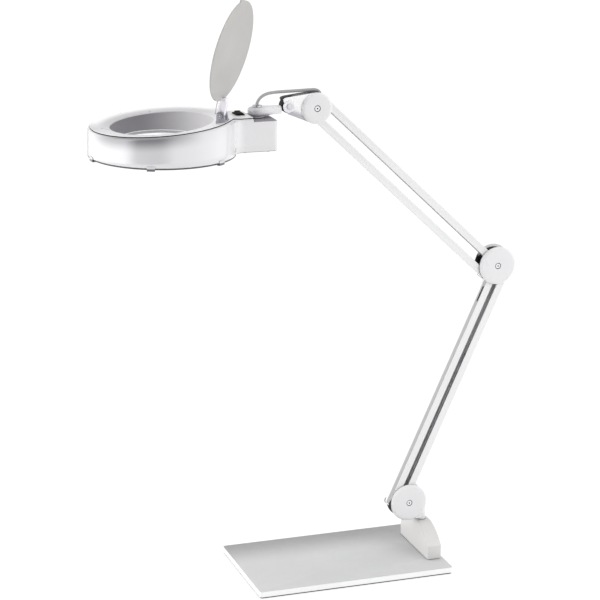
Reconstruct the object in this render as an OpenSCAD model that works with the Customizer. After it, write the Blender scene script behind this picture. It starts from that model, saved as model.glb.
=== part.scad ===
// Magnifying lamp on a weighted base plate: two parallelogram arms, tilting and
// panning round head with a biconvex lens, ring lamp and hinged lens lid.
// Millimetres, +Z up. Origin: base swivel axis at the underside of the base.
// The arms lie in the XZ plane, with the head towards -X. Front is -Y.

/* [Base] */
// Length of the base plate along X
plate_len = 330; // [290:1:360]
// Width of the base plate along Y
plate_wid = 200; // [160:1:240]
// Thickness of the steel base plate
plate_t = 9; // [8:0.5:12]
// Thickness of the rubber pad under the plate
pad_t = 2; // [1:0.5:3]
// Length of the arched foot block along Y
foot_len = 120; // [100:1:140]
// Thickness of the foot block along X
foot_thk = 23; // [22:1:26]
// Radius of the swivel pin
swivel_r = 5; // [4:0.5:5.5]

/* [Arms] */
// Height of an arm bar's face
bar_w = 12; // [10:0.5:12]
// Depth of an arm bar along Y
bar_d = 17; // [15:0.5:17]
// Wall of an arm bar
bar_wall = 1.4; // [1:0.1:2]
// Radius of a pivot pin
pin_r = 3; // [2.5:0.1:3.5]
// Radius of the base and elbow cover caps
cap_r = 31; // [30:0.5:32]
// Radius of the wrist cover caps
wrist_cap_r = 24.5; // [24:0.5:26]
// Thickness of a cover cap
cap_t = 4.2; // [3.5:0.1:5]

/* [Head] */
// Outer radius of the lamp head
head_r = 112; // [110:0.5:115]
// Radius of the magnifying lens
lens_r = 63.5; // [60:0.5:64]
// Thickness of the lens at its centre
lens_t = 12; // [8:0.5:14]
// Radius of the ring lamp's tube
tube_r = 14; // [8:0.5:14]
// Width of the head's neck along Y
neck_wid = 70; // [60:1:72]
// Radius of the lens lid
lid_r = 77; // [74:0.5:77.5]
// Thickness of the lens lid
lid_t = 2.4; // [2:0.1:3]

/* [Hidden] */
$fn = 96;

WHITE = [0.93, 0.93, 0.94];
GREY = [0.72, 0.72, 0.74];
BLACK = [0.08, 0.08, 0.09];
STEEL = [0.66, 0.67, 0.69];
LINK_GREY = [0.8, 0.8, 0.82];

run_gap = 0.05;             // radial clearance of a running pin
fix_gap = 0.01;             // radial clearance of a fixed pin

// Layers of the arms, measured from the XZ plane
bar_half_w = bar_w / 2;
bar_half_d = bar_d / 2;
cheek_t = 1.5;
cheek_in = bar_half_d + 0.1;
cheek_out = cheek_in + cheek_t;
cap_back = cheek_out + 0.1;

// Cap centres and bar pivots, [X, Z]; each arm's main bar runs parallel to its guide bar
base_centre = [-27, 96];
elbow_centre = [117, 489];
wrist_centre = [-197, 764];
lower_offset = [21.1, 0];   // from guide pivot to main pivot
base_guide = [-55.3, 96];
base_main = base_guide + lower_offset;
elbow_low_guide = [111.1, 472.5];
elbow_low_main = elbow_low_guide + lower_offset;
upper_offset = [18.5, 19.7];
elbow_up_guide = [97, 473.7];
elbow_up_main = elbow_up_guide + upper_offset;
wrist_guide = [-204.4, 756.9];
wrist_main = wrist_guide + upper_offset;
tilt_axis = [-242, 768.7];
pan_x = -290;               // vertical head pan axis
pan_bolt_r = 5;

// ---- helpers ----
// Points p are [X, Z]; facets is the $fn of the round
// Extrude a profile drawn in (X, Z) from y0 to y1
module slab(y0, y1) {
  translate([0, y1, 0]) rotate([90, 0, 0]) linear_extrude(y1 - y0) children();
}
// The same slab on both sides of the XZ plane
module slab_pair(y0, y1) {
  slab(-y1, -y0) children();
  slab(y0, y1) children();
}
// Cylinder along Y from y0 to y1
module cyl_y(p, r, y0, y1, facets = 64) {
  translate([p[0], y1, p[1]]) rotate([90, 0, 0]) cylinder(r = r, h = y1 - y0, $fn = facets);
}
// Cylinder along Y, centred on the XZ plane
module pin_y(p, r, half, facets = 64) { cyl_y(p, r, -half, half, facets); }
// Box centred on the XZ plane
module block(x0, x1, width, z0, z1) {
  translate([x0, -width / 2, z0]) cube([x1 - x0, width, z1 - z0]);
}
module disc(p, r, facets = 96) { translate(p) circle(r, $fn = facets); }
function heading(from, to) = atan2(to[1] - from[1], to[0] - from[0]);
function distance(from, to) = norm(to - from);
// Straight bar with round ends, in 2-D
module link2d(from, to, r) {
  disc(from, r);
  disc(to, r);
  translate(from) rotate(heading(from, to)) translate([0, -r])
    square([distance(from, to), 2 * r]);
}
// Tapered bar: two circles and their common outer tangents, in 2-D
module taper2d(from, from_r, to, to_r) {
  turn = heading(from, to);
  tangent = acos((from_r - to_r) / distance(from, to));
  left = [cos(turn + tangent), sin(turn + tangent)];
  right = [cos(turn - tangent), sin(turn - tangent)];
  disc(from, from_r);
  disc(to, to_r);
  polygon([from + from_r * left, to + to_r * left, to + to_r * right, from + from_r * right]);
}
// Pie slice of a disc, in 2-D
module sector(centre, r, start, finish) {
  step = (finish - start) / 8;
  intersection() {
    disc(centre, r);
    translate(centre) polygon(concat([[0, 0]],
      [for (a = [start : step : finish + 0.01]) 2 * r * [cos(a), sin(a)]]));
  }
}
// Rectangle with round corners, centred, in 2-D
module round_rect(length, width, r) {
  square([length - 2 * r, width], center = true);
  square([length, width - 2 * r], center = true);
  for (x = [-1, 1], y = [-1, 1])
    translate([x * (length / 2 - r), y * (width / 2 - r)]) circle(r, $fn = 48);
}

// ---- arm parts ----
// Place what is drawn along +X on the line between two pivots
module along(from, to) {
  translate([from[0], 0, from[1]]) rotate([0, -heading(from, to), 0]) children();
}
// Hollow bar; open_side leaves the channel open on its left, looking towards the far pivot
module bar(from, to, open_side) {
  span = distance(from, to);
  solid_end = 14;
  along(from, to) difference() {
    slab(-bar_half_d, bar_half_d) link2d([0, 0], [span, 0], bar_half_w);
    slab(-bar_half_d + bar_wall, bar_half_d - bar_wall)
      translate([solid_end, -bar_half_w + bar_wall])
        square([span - 2 * solid_end, bar_w - bar_wall + (open_side ? 1 : -bar_wall)]);
    for (x = [0, span]) pin_y([x, 0], pin_r + run_gap, bar_half_d + 1);
  }
}
// Tension spring body with straight shanks and anchor rods across the channel;
// the body runs from start to finish along the bar
module spring(from, to, start, finish) {
  body = finish - start;
  shank = 14;
  end_t = 3;
  along(from, to) translate([start, 0, 0]) rotate([0, 90, 0]) {
    difference() {
      cylinder(r = 3.7, h = body, $fn = 48);
      translate([0, 0, end_t]) cylinder(r = 2.5, h = body - 2 * end_t, $fn = 48);
    }
    for (z = [-shank, body - 0.5])
      translate([0, 0, z]) cylinder(r = 0.8, h = shank + 0.5, $fn = 24);
    for (z = [-shank, body + shank])
      pin_y([0, z], 1.5, bar_half_d - bar_wall - 0.05, 24);
  }
}
cap_screw_r = 1.25;         // shank of a cover cap's screw
cap_recess_r = 4.6;
cap_recess = 1.2;           // depth of the recess for the screw's head
// Cover cap standing on y = cap_back, outward along -Y for side = -1 and +Y for side = 1
module cap(p, r, side) {
  // [radius, height above the cap's back]
  profile = [
    [1.4, 0], [r, 0], [r, 1.6], [r - 0.5, 2.3], [r - 1.4, 2.9],
    [r - 3, cap_t - 0.4], [r - 4.2, cap_t], [5, cap_t], [cap_recess_r, cap_t - 0.2],
    [cap_recess_r, cap_t - cap_recess], [1.4, cap_t - cap_recess]];
  translate([p[0], side * cap_back, p[1]]) rotate([-90 * side, 0, 0])
    rotate_extrude($fn = 128) polygon(profile);
}
// One hex-socket screw through each cap into the cheek behind it
module cap_screws(p) {
  for (side = [-1, 1])
    translate([p[0], side * (cheek_in + 0.1), p[1]]) rotate([-90 * side, 0, 0]) difference() {
      union() {
        cylinder(r = cap_screw_r, h = cheek_t + cap_t - 1.1, $fn = 32);
        translate([0, 0, cheek_t + 0.05 + cap_t - cap_recess])
          cylinder(r = 4.1, h = 1.5, $fn = 48);
      }
      translate([0, 0, cap_t + 1.4]) cylinder(r = 1.7, h = 3, $fn = 6);
    }
}
module pivot_pins(pivots) { for (p = pivots) pin_y(p, pin_r, cheek_out); }
// Cheek plate pair from a 2-D outline, with pin holes and a cap screw hole
module cheeks(pivots, centre) {
  difference() {
    slab_pair(cheek_in, cheek_out) children();
    for (p = pivots) pin_y(p, pin_r + fix_gap, cheek_out + 1);
    pin_y(centre, cap_screw_r + fix_gap, cheek_out + 1);
  }
}

// ---- base ----
plate_top_z = pad_t + plate_t;
plate_x = 17 - plate_len / 2;      // plate centre; its +X edge stays at x = 17
plate_corner_r = 4;
foot_x = 0.5;
foot_h = 50;
foot_rise = 27.5;                  // rise of the foot's arch over its length
gasket_t = 0.8;
foot_z = plate_top_z + gasket_t;
foot_screw_y = [-48, -26, 26, 48];
foot_screw_r = 3;
foot_hole_r = 3.3;
bush_r = 8;
bush_z = plate_top_z + 8;

module at_foot_screws(z) {
  for (y = foot_screw_y) translate([foot_x, y, z]) children();
}
module base_pad() {
  color(BLACK) translate([plate_x, 0, 0]) linear_extrude(pad_t)
    round_rect(plate_len - 2, plate_wid - 2, plate_corner_r);
}
module base_plate() {
  color(WHITE) difference() {
    translate([plate_x, 0, pad_t]) linear_extrude(plate_t)
      round_rect(plate_len, plate_wid, plate_corner_r);
    at_foot_screws(pad_t - 1) {
      cylinder(r = foot_hole_r, h = plate_t + 2, $fn = 32);
      cylinder(r = 5.8, h = 4.6, $fn = 32);
    }
  }
}
module foot_gasket() {
  color(BLACK) difference() {
    translate([foot_x, 0, plate_top_z]) linear_extrude(gasket_t)
      round_rect(foot_thk - 1, foot_len - 1, 2);
    at_foot_screws(plate_top_z - 1) cylinder(r = foot_hole_r, h = 3, $fn = 32);
  }
}
module foot_block() {
  arch_r = (foot_len * foot_len / 4 + foot_rise * foot_rise) / (2 * foot_rise);
  color([0.88, 0.87, 0.86]) difference() {
    // the rectangle crops the crown of the arch flat
    translate([foot_x - foot_thk / 2, 0, foot_z]) rotate([90, 0, 90])
      linear_extrude(foot_thk) intersection() {
        translate([-foot_len / 2, 0]) square([foot_len, foot_h - gasket_t]);
        translate([0, foot_h - arch_r]) circle(arch_r, $fn = 256);
      }
    translate([0, 0, bush_z]) cylinder(r = bush_r + fix_gap, h = 60);
    at_foot_screws(foot_z - 1) cylinder(r = foot_screw_r + fix_gap, h = 13, $fn = 32);
  }
}
module foot_screws() {
  color(STEEL) at_foot_screws(pad_t + 0.1) difference() {
    union() {
      cylinder(r = 5.5, h = 3.2, $fn = 32);
      cylinder(r = foot_screw_r, h = plate_t + 11, $fn = 32);
    }
    translate([0, 0, -1]) cylinder(r = 2, h = 3, $fn = 6);
  }
}
module swivel_bush() {
  color(GREY) translate([0, 0, bush_z]) difference() {
    cylinder(r = bush_r, h = 41.6);
    translate([0, 0, 2]) cylinder(r = swivel_r + run_gap, h = 60);
  }
}

// ---- swivel bracket ----
collar_r = 6.9;
collar_h = 4.4;
collar_edge = 0.5;                 // chamfer
bracket_z = 65.6;                  // underside
sleeve_r = 7.4;                    // sleeve round the swivel pin
sleeve_h = 19.4;
rivets = [[-11, 76], [-8.5, 83]];
rivet_r = 1.8;

module swivel_pin() {
  color(STEEL) translate([0, 0, plate_top_z + 10.3]) cylinder(r = swivel_r, h = 62.5);
}
module swivel_collar() {
  bore_r = swivel_r + 0.02;
  color(WHITE) translate([0, 0, plate_top_z + 50.1]) rotate_extrude() polygon([
    [bore_r, 0], [collar_r - collar_edge, 0], [collar_r, collar_edge],
    [collar_r, collar_h - collar_edge], [collar_r - collar_edge, collar_h],
    [bore_r, collar_h]]);
}
module base_bracket() {
  color(WHITE) difference() {
    union() {
      slab(-cheek_out, cheek_out) translate([-14, bracket_z]) square([11, 20.4]);
      translate([0, 0, bracket_z]) cylinder(r = sleeve_r, h = sleeve_h);
      block(-6, 0, 2 * sleeve_r, bracket_z, bracket_z + sleeve_h);
    }
    translate([0, 0, 60]) cylinder(r = swivel_r + fix_gap, h = 24);
    // room for the cheeks
    slab_pair(cheek_in - 0.01, cheek_out + 1) disc(base_centre, cap_r - 0.25);
    for (p = rivets) pin_y(p, rivet_r + fix_gap, 20, 32);
  }
}
module base_cheeks() {
  color(BLACK) cheeks([base_guide, base_main], base_centre) difference() {
    union() {
      disc(base_centre, cap_r - 3.6);
      sector(base_centre, cap_r - 0.3, 165, 335);
      link2d(base_guide, base_main, 6.4);
    }
    for (p = rivets) disc(p, rivet_r + fix_gap, 32);
  }
}
module bracket_rivets() { color(STEEL) for (p = rivets) pin_y(p, rivet_r, cheek_out, 32); }
module base_cap_front() { color(WHITE) cap(base_centre, cap_r, -1); }
module base_cap_rear() { color(WHITE) cap(base_centre, cap_r, 1); }
module base_cap_screws() { color(STEEL) cap_screws(base_centre); }
module base_pivot_pins() { color(STEEL) pivot_pins([base_guide, base_main]); }

// ---- lower arm ----
module lower_main_bar() { color(WHITE) bar(base_main, elbow_low_main, true); }
module lower_spring() { color(STEEL) spring(base_main, elbow_low_main, 44, 250); }
module lower_guide_bar() { color(WHITE) bar(base_guide, elbow_low_guide, false); }

// ---- elbow ----
elbow_pivots = [elbow_low_guide, elbow_low_main, elbow_up_main, elbow_up_guide];

module elbow_cheeks() {
  color(BLACK) cheeks(elbow_pivots, elbow_centre) {
    disc(elbow_centre, cap_r - 4.2);
    disc(elbow_up_guide, 6.5);
    sector(elbow_centre, cap_r - 0.3, 152, 214);
  }
}
module elbow_cap_front() { color(WHITE) cap(elbow_centre, cap_r, -1); }
module elbow_cap_rear() { color(WHITE) cap(elbow_centre, cap_r, 1); }
module elbow_cap_screws() { color(STEEL) cap_screws(elbow_centre); }
module elbow_pivot_pins() { color(STEEL) pivot_pins(elbow_pivots); }

// ---- upper arm ----
module upper_main_bar() { color(WHITE) bar(elbow_up_main, wrist_main, true); }
module upper_spring() { color(STEEL) spring(elbow_up_main, wrist_main, 44, 230); }
module upper_guide_bar() { color(WHITE) bar(elbow_up_guide, wrist_guide, false); }

// ---- wrist ----
hood_nose = [-243.5, 770.5];
tilt_pin_r = 2.5;
tilt_head_r = 3.6;
knuckle_r = 10.5;

module hood2d(inset) {
  taper2d(wrist_centre, wrist_cap_r - 0.2 - inset, hood_nose, 12.4 - inset);
}
module wrist_hood() {
  color(WHITE) difference() {
    union() {
      slab_pair(cheek_in, cheek_out) hood2d(0);
      // top and bottom walls between the cheeks, clear of the bars and the knuckle
      slab(-cheek_in - 0.5, cheek_in + 0.5) intersection() {
        difference() {
          hood2d(1.6);
          hood2d(3.6);
        }
        union() {
          translate([-231, 770]) square([24, 40]);
          translate([-231, 700]) square([14, 70]);
        }
      }
    }
    // open the nose towards the head
    slab(-20, 20) polygon([[-300, 700], [-242.5, 755], [-253, 785], [-300, 830]]);
    for (p = [wrist_main, wrist_guide]) pin_y(p, pin_r + fix_gap, 20);
    pin_y(wrist_centre, cap_screw_r + fix_gap, 20);
    pin_y(tilt_axis, tilt_pin_r + fix_gap, 20);
  }
}
module wrist_cap_front() { color(WHITE) cap(wrist_centre, wrist_cap_r, -1); }
module wrist_cap_rear() { color(WHITE) cap(wrist_centre, wrist_cap_r, 1); }
module wrist_cap_screws() { color(STEEL) cap_screws(wrist_centre); }
module wrist_pivot_pins() { color(STEEL) pivot_pins([wrist_main, wrist_guide]); }
module tilt_pin() {
  color(STEEL) {
    pin_y(tilt_axis, tilt_pin_r, cheek_out + 0.2, 48);
    cyl_y(tilt_axis, tilt_head_r, -cheek_out - 1.3, -cheek_out - 0.1, 48);
    cyl_y(tilt_axis, tilt_head_r, cheek_out + 0.1, cheek_out + 1.3, 48);
  }
}

// ---- head link ----
link_z = 756;
link_h = 13.8;
link_r = 14.5;              // radius of the eye round the pan axis

module tilt_knuckle() {
  color(BLACK) difference() {
    pin_y(tilt_axis, knuckle_r, bar_half_d - 0.3);
    pin_y(tilt_axis, tilt_pin_r + run_gap, 20);
    // slot that the link's tongue is pressed into
    slab(-5, 5) translate([-270, 755]) square([23.8, 11]);
  }
}
// Plan of the link: eye and taper to the knuckle
module link2d_plan() {
  // [X, Y] of the +Y edge, from the eye to the knuckle
  edge = [[pan_x, link_r], [pan_x + 8, link_r - 0.6],
    [-264, bar_half_d - 0.4], [-253, bar_half_d - 0.4]];
  translate([pan_x, 0]) circle(link_r);
  polygon(concat([for (p = edge) [p[0], -p[1]]], [for (i = [3 : -1 : 0]) edge[i]]));
}
module head_link() {
  // [radius, height] of the eye's rounded edges
  eye_profile = [
    [0, 0], [link_r - 3.5, 0], [link_r - 1.5, 0.9], [link_r - 0.4, 2.6], [link_r, 5],
    [link_r, 8.8], [link_r - 0.5, 11], [link_r - 1.8, 12.7], [link_r - 4, link_h], [0, link_h]];
  color(LINK_GREY) difference() {
    intersection() {
      translate([0, 0, link_z]) linear_extrude(link_h) link2d_plan();
      union() {
        translate([pan_x, 0, link_z]) rotate_extrude() polygon(eye_profile);
        block(pan_x, pan_x + 60, 40, link_z, link_z + 20);
      }
    }
    pin_y(tilt_axis, knuckle_r + 0.05, 20);
    translate([pan_x, 0, 700]) cylinder(r = pan_bolt_r + run_gap, h = 100);
  }
  // tongue
  color(LINK_GREY) block(-259.5, -246.3, 9.8, 756.4, 765.8);
}
// Cable arching from the hollow pan bolt over the hood to the wrist
module head_cable() {
  cable_r = 2.7;
  bend_r = 14;
  turn = 86;
  bend_z = 2.8;             // start of the bend above the cable's foot
  color([0.85, 0.85, 0.86]) translate([-291, 0, 772.2]) {
    cylinder(r = cable_r, h = 3.3, $fn = 32);
    translate([bend_r, 0, bend_z]) rotate([90, 0, 0]) rotate([0, 0, 180 - turn])
      rotate_extrude(angle = turn, $fn = 96)
        translate([bend_r, 0]) circle(cable_r - 0.1, $fn = 32);
    translate([bend_r - bend_r * cos(turn), 0, bend_z + bend_r * sin(turn)])
      rotate([0, turn, 0]) translate([0, 0, -0.5]) cylinder(r = cable_r, h = 82, $fn = 32);
  }
}

// ---- head ----
head_x = -441;
head_z = 706.5;             // underside of the housing
below_z = 700;              // level under the housing where cuts start
top_z = 757.5;              // height of the tilted top plane at the head's centre
top_tilt = 4.4;
rim_r = 108;                // ridge of the housing's top
ring_r = head_r + 0.8;      // outer radius of the ring's wall
opening_r = 78.3;
opening_dz = -4.5;          // fall of the top from the ridge to the opening
seat_z = 721;               // lens seat
wall = 2.5;
neck_end_x = -268;
neck_top = 759.4;
step_x = -306.5;            // the neck is lower from here to its end
step_z = 753;
chamber_x = head_x + 113;   // start of the neck chamber
chamber_wid = neck_wid - 2 * wall;
neck_fix = [[-318, -27], [-318, 27], [-281, -27], [-281, 27]];  // neck screws, [X, Y]
neck_screw_r = 1.5;
head_fn = 192;              // facets of the head's round parts
// [radius, height] of the dished top, in the tilted frame
top_dish = [[0, opening_dz], [opening_r, opening_dz], [rim_r, 0]];

// Frame of the tilted top plane
module tilted() { translate([head_x, 0, top_z]) rotate([0, -top_tilt, 0]) children(); }
// Solid of revolution about the head's axis
module head_turned(z = 0) {
  translate([head_x, 0, z]) rotate_extrude($fn = head_fn) children();
}
module at_neck_screws(z) { for (p = neck_fix) translate([p[0], p[1], z]) children(); }

module pan_washer() {
  color(BLACK) translate([pan_x, 0, step_z + 0.1]) difference() {
    cylinder(r = 11.5, h = 2.8);
    translate([0, 0, -1]) cylinder(r = pan_bolt_r + run_gap, h = 6);
  }
}
// Hollow bolt on the pan axis: carries the link, and the cable runs through it
module pan_tube() {
  color(STEEL) translate([pan_x, 0, 743]) difference() {
    union() {
      cylinder(r = pan_bolt_r, h = 27.2);
      translate([0, 0, 27]) cylinder(r = 7.6, h = 1.6);
    }
    translate([0, 0, -1]) cylinder(r = 3.2, h = 40);
  }
}
module pan_nut() {
  color(STEEL) translate([pan_x, 0, 745.2]) difference() {
    cylinder(r = 9, h = 4.8, $fn = 6);
    translate([0, 0, -1]) cylinder(r = pan_bolt_r + fix_gap, h = 8);
  }
}
module neck_bosses() {
  at_neck_screws(0) difference() {
    translate([0, 0, head_z + 2.3]) cylinder(r = 3.2, h = step_z - 2 - head_z - 2.3, $fn = 32);
    translate([0, 0, head_z]) cylinder(r = neck_screw_r + fix_gap, h = 14, $fn = 32);
  }
}
// Round body under the tilted, chamfered top
module round_body() {
  edge = [[rim_r + 1.6, -0.5], [rim_r + 3.2, -1.9], [rim_r + 4.3, -4.2],
    [rim_r + 5.5, -9], [rim_r + 16, -16], [rim_r + 16, -80], [0, -80]];
  intersection() {
    translate([head_x, 0, head_z]) cylinder(r = ring_r, h = 80, $fn = head_fn);
    tilted() rotate_extrude($fn = head_fn) polygon(concat(top_dish, edge));
  }
}
// Everything above the dished top, inside the ridge
module above_dish() {
  intersection() {
    tilted() rotate_extrude($fn = head_fn) polygon(concat(top_dish, [[rim_r, 40], [0, 40]]));
    block(head_x - 150, head_x + 150, 300, below_z, 900);
  }
}
// Upper funnel, lens well and lower bore
module opening() {
  bore_r = lens_r - 2.5;
  well_r = lens_r + 0.3;
  funnel_r = opening_r + 0.2;
  head_turned() polygon([
    [0, below_z], [bore_r, below_z], [bore_r, seat_z], [well_r, seat_z], [well_r, 734],
    [funnel_r, 754], [funnel_r, 800], [0, 800]]);
}
// Annular lamp chamber, open underneath
module lamp_chamber() {
  inner_r = lens_r + 2.9;
  outer_r = head_r - wall;
  intersection() {
    head_turned() polygon([
      [inner_r, below_z], [outer_r, below_z], [outer_r, 800],
      [opening_r + 4, 800], [opening_r + 4, 757], [inner_r, 736]]);
    tilted() translate([0, 0, -68]) cylinder(r = 140, h = 60);
  }
}
module head_housing() {
  color(WHITE) neck_bosses();
  color(WHITE) difference() {
    union() {
      round_body();
      // neck, with a lower step for the pan joint
      block(head_x + 80, neck_end_x, neck_wid, head_z, step_z);
      block(head_x + 96, step_x, neck_wid, head_z, neck_top);
    }
    // recess around the link's eye
    translate([pan_x, 0, step_z]) cylinder(r = 16.5, h = 30);
    above_dish();
    opening();
    lamp_chamber();
    // neck chamber and wire way
    block(chamber_x, neck_end_x - wall, chamber_wid, below_z, step_z - 3);
    block(head_x + 100, head_x + 120, 20, 712, 736);
    // pan bolt hole
    translate([pan_x, 0, 740]) cylinder(r = pan_bolt_r + fix_gap, h = 30);
    switch_box([11, 19.4], 745, 30);
  }
}
module diffuser() {
  inner_r = lens_r + 0.5;
  outer_r = ring_r - 0.6;
  color([0.9, 0.92, 0.95]) head_turned() polygon([
    [inner_r, head_z - 2.6], [outer_r - 0.8, head_z - 2.6], [outer_r, head_z - 1.8],
    [outer_r, head_z - 0.1], [inner_r, head_z - 0.1]]);
}
module diffuser_clips() {
  sweep = 6;
  // [radius, Z] of the bent strip
  profile = [
    [ring_r - 5, head_z - 3.9], [ring_r + 0.4, head_z - 3.9], [ring_r + 1.1, head_z - 3.2],
    [ring_r + 1.1, head_z + 3.4], [ring_r + 0.1, head_z + 3.9], [ring_r + 0.1, head_z - 2.7],
    [ring_r - 5, head_z - 2.7]];
  color(GREY) translate([head_x, 0, 0]) for (a = [-174, -114, -54, 66, 126])
    rotate([0, 0, a - sweep / 2]) rotate_extrude(angle = sweep, $fn = head_fn) polygon(profile);
}
module neck_cover() {
  color(WHITE) difference() {
    block(chamber_x + 0.3, neck_end_x - wall - 0.15, chamber_wid - 0.3, head_z, head_z + 2.2);
    at_neck_screws(head_z - 1) cylinder(r = 1.6, h = 5, $fn = 24);
  }
}
module neck_screws() {
  color(STEEL) at_neck_screws(head_z - 1.6) difference() {
    union() {
      cylinder(r = 2.8, h = 1.5, $fn = 32);
      cylinder(r = neck_screw_r, h = 12, $fn = 24);
    }
    translate([0, 0, -1]) cylinder(r = 1, h = 2, $fn = 6);
  }
}
module ballast() { color([0.25, 0.3, 0.27]) block(-323, -279, 44, 716, 732); }

// ---- lens ----
// Biconvex: two shallow spherical faces
module lens() {
  edge_t = 3.2;
  sag = (lens_t - edge_t) / 2;
  face_r = (lens_r * lens_r + sag * sag) / (2 * sag);
  color([0.85, 0.92, 0.95, 0.4]) head_turned(seat_z + 0.4 + edge_t / 2) intersection() {
    translate([0, -20]) square([lens_r, 40]);
    for_face(face_r - lens_t / 2, face_r);
    for_face(-face_r + lens_t / 2, face_r);
  }
}
module for_face(z, r) { translate([0, z]) circle(r, $fn = 1440); }
module lens_ring() {
  inner_r = lens_r - 2.2;
  outer_r = lens_r + 0.2;
  color(WHITE) head_turned(seat_z + 3.8) polygon([
    [inner_r, 0.5], [outer_r, 0.1], [outer_r, 3.6], [lens_r - 0.6, 3.6], [inner_r, 2.2]]);
}

// ---- ring lamp ----
lamp_z = 727;
lamp_r = 93.2;              // radius of the tube's centre line

// Sweep a tube section about the lamp's axis
module lamp_arc(start, sweep) {
  rotate([0, 0, start]) rotate_extrude(angle = sweep, $fn = head_fn)
    translate([lamp_r, 0]) children();
}
module ring_lamp() {
  color([0.96, 0.96, 0.97]) translate([head_x, 0, lamp_z]) lamp_arc(14, 332) difference() {
    circle(tube_r, $fn = 48);
    circle(tube_r - 1.2, $fn = 48);
  }
}
// Hollow joint that closes the gap in the ring
module lamp_socket() {
  color(WHITE) translate([head_x, 0, lamp_z]) difference() {
    lamp_arc(-13.6, 27.2) circle(tube_r + 0.6, $fn = 48);
    lamp_arc(-10.6, 21) circle(tube_r - 2, $fn = 48);
  }
}
// C-shaped clips over the tube, open underneath
module lamp_clips() {
  width = 8;
  color(STEEL) translate([head_x, 0, lamp_z]) for (a = [80, 180, -80]) rotate([0, 0, a])
    translate([lamp_r, width / 2, 0]) rotate([90, 0, 0]) linear_extrude(width) difference() {
      circle(tube_r + 0.9, $fn = 64);
      circle(tube_r + 0.1, $fn = 64);
      translate([-30, -40]) square([60, 34]);
    }
}

// ---- switch ----
switch_x = -320;
rocker_z = 757.5;           // rocker pivot

module switch_box(size, z, height) {
  translate([switch_x, 0, z]) linear_extrude(height) square(size, center = true);
}
module switch_bezel() {
  color(BLACK) difference() {
    union() {
      translate([switch_x, 0, neck_top + 0.05]) linear_extrude(1.7) round_rect(14, 22, 1.2);
      switch_box([10.8, 19.2], 747, 12.5);
    }
    switch_box([9.2, 17.2], 749, 20);
    translate([switch_x - 5.1, 0, rocker_z]) rotate([0, 90, 0])
      cylinder(r = 1.25, h = 10.2, $fn = 32);
  }
}
// Rocks about an X-direction pivot inside the bezel
module switch_rocker() {
  // [Y, Z] about the pivot
  profile = [[-6.6, -4], [6.6, -4], [8.1, 3], [8.1, 5.6], [0, 4.4], [-8.1, 5.6], [-8.1, 3]];
  color(BLACK) translate([switch_x, 0, rocker_z]) rotate([6, 0, 0]) {
    rotate([90, 0, 90]) translate([0, 0, -4.4]) linear_extrude(8.8) polygon(profile);
    translate([-5, 0, 0]) rotate([0, 90, 0]) cylinder(r = 1.2, h = 10, $fn = 32);
  }
}

// ---- lid ----
hinge_turn = -38.6;         // hinge's bearing about the head's centre
hinge_r = 98.4;             // hinge's distance from the head's centre
hinge_z = 9.4;              // hinge axis above the tilted top
hinge_pin_r = 1.5;
lid_open = 106.7;           // opening angle
lid_z = 2.5;                // underside of the closed lid above the tilted top

// Frame on the tilted top under the hinge, +X away from the head's centre
module at_hinge() { tilted() rotate([0, 0, hinge_turn]) translate([hinge_r, 0, 0]) children(); }
// Frame on the hinge axis that turns with the lid; children are drawn closed
module at_lid() {
  at_hinge() translate([0, 0, hinge_z]) rotate([0, lid_open, 0]) children();
}
// Foot and two ears on the housing's top
module lid_bracket() {
  lift = 0.03;              // gap between the foot and the top
  color([0.78, 0.77, 0.82]) at_hinge() difference() {
    union() {
      block(-8, 8, 16, -3, 1.4);
      slab_pair(4.7, 8) {
        disc([0, hinge_z], 6, 48);
        polygon([[-6, hinge_z], [6, hinge_z], [7.8, -3], [-7.8, -3]]);
      }
    }
    pin_y([0, hinge_z], hinge_pin_r + fix_gap, 15, 48);
    // seat on the funnel-shaped top
    translate([-hinge_r, 0, 0]) rotate_extrude($fn = head_fn) polygon([
      [0, -30], [rim_r + 20, -30], [rim_r + 20, lift], [rim_r, lift],
      [opening_r, opening_dz + lift], [0, opening_dz + lift]]);
  }
}
module lid_hinge_pin() {
  color(STEEL) at_hinge() cyl_y([0, hinge_z], hinge_pin_r, -10.7, 7.9, 48);
}
// Leg spring on the end of the hinge pin, its leg lying under the lid's rim
module lid_spring() {
  wire_r = 0.7;
  color([0.3, 0.3, 0.32]) at_lid() translate([0, -8.1, 0]) {
    difference() {
      cyl_y([0, 0], 3.6, -2.5, 0, 48);
      cyl_y([0, 0], 2.2, -4, 1, 48);
    }
    translate([-1.5, -1.2, -8.2]) cylinder(r = wire_r, h = 5.6, $fn = 24);
    translate([-24.5, -1.2, -8.2]) rotate([0, 90, 0]) cylinder(r = wire_r, h = 23, $fn = 24);
  }
}
module lens_lid() {
  drop = lid_z - hinge_z;
  edge = 0.6;
  // [X, Z] of the stout arm from the disc to the hinge barrel
  arm = [[0, -7.3], [-22, -7.3], [-25, -6.2], [-26.6, -3.6], [-26.6, -0.6],
    [-25.4, 2.2], [-22.6, 4], [-20, 4.4], [0, 4.4]];
  color([0.8, 0.8, 0.78, 0.9]) at_lid() difference() {
    union() {
      translate([-hinge_r, 0, drop]) rotate_extrude($fn = head_fn) polygon([
        [0, 0], [lid_r - edge, 0], [lid_r, edge],
        [lid_r, lid_t - edge], [lid_r - edge, lid_t], [0, lid_t]]);
      slab(-4.5, 4.5) {
        circle(4.4, $fn = 48);
        polygon(arm);
      }
      // finger tab at the far edge
      translate([-hinge_r - lid_r - 5, -8, drop]) cube([10, 16, lid_t]);
    }
    pin_y([0, 0], hinge_pin_r + run_gap, 15, 48);
  }
}

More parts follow.
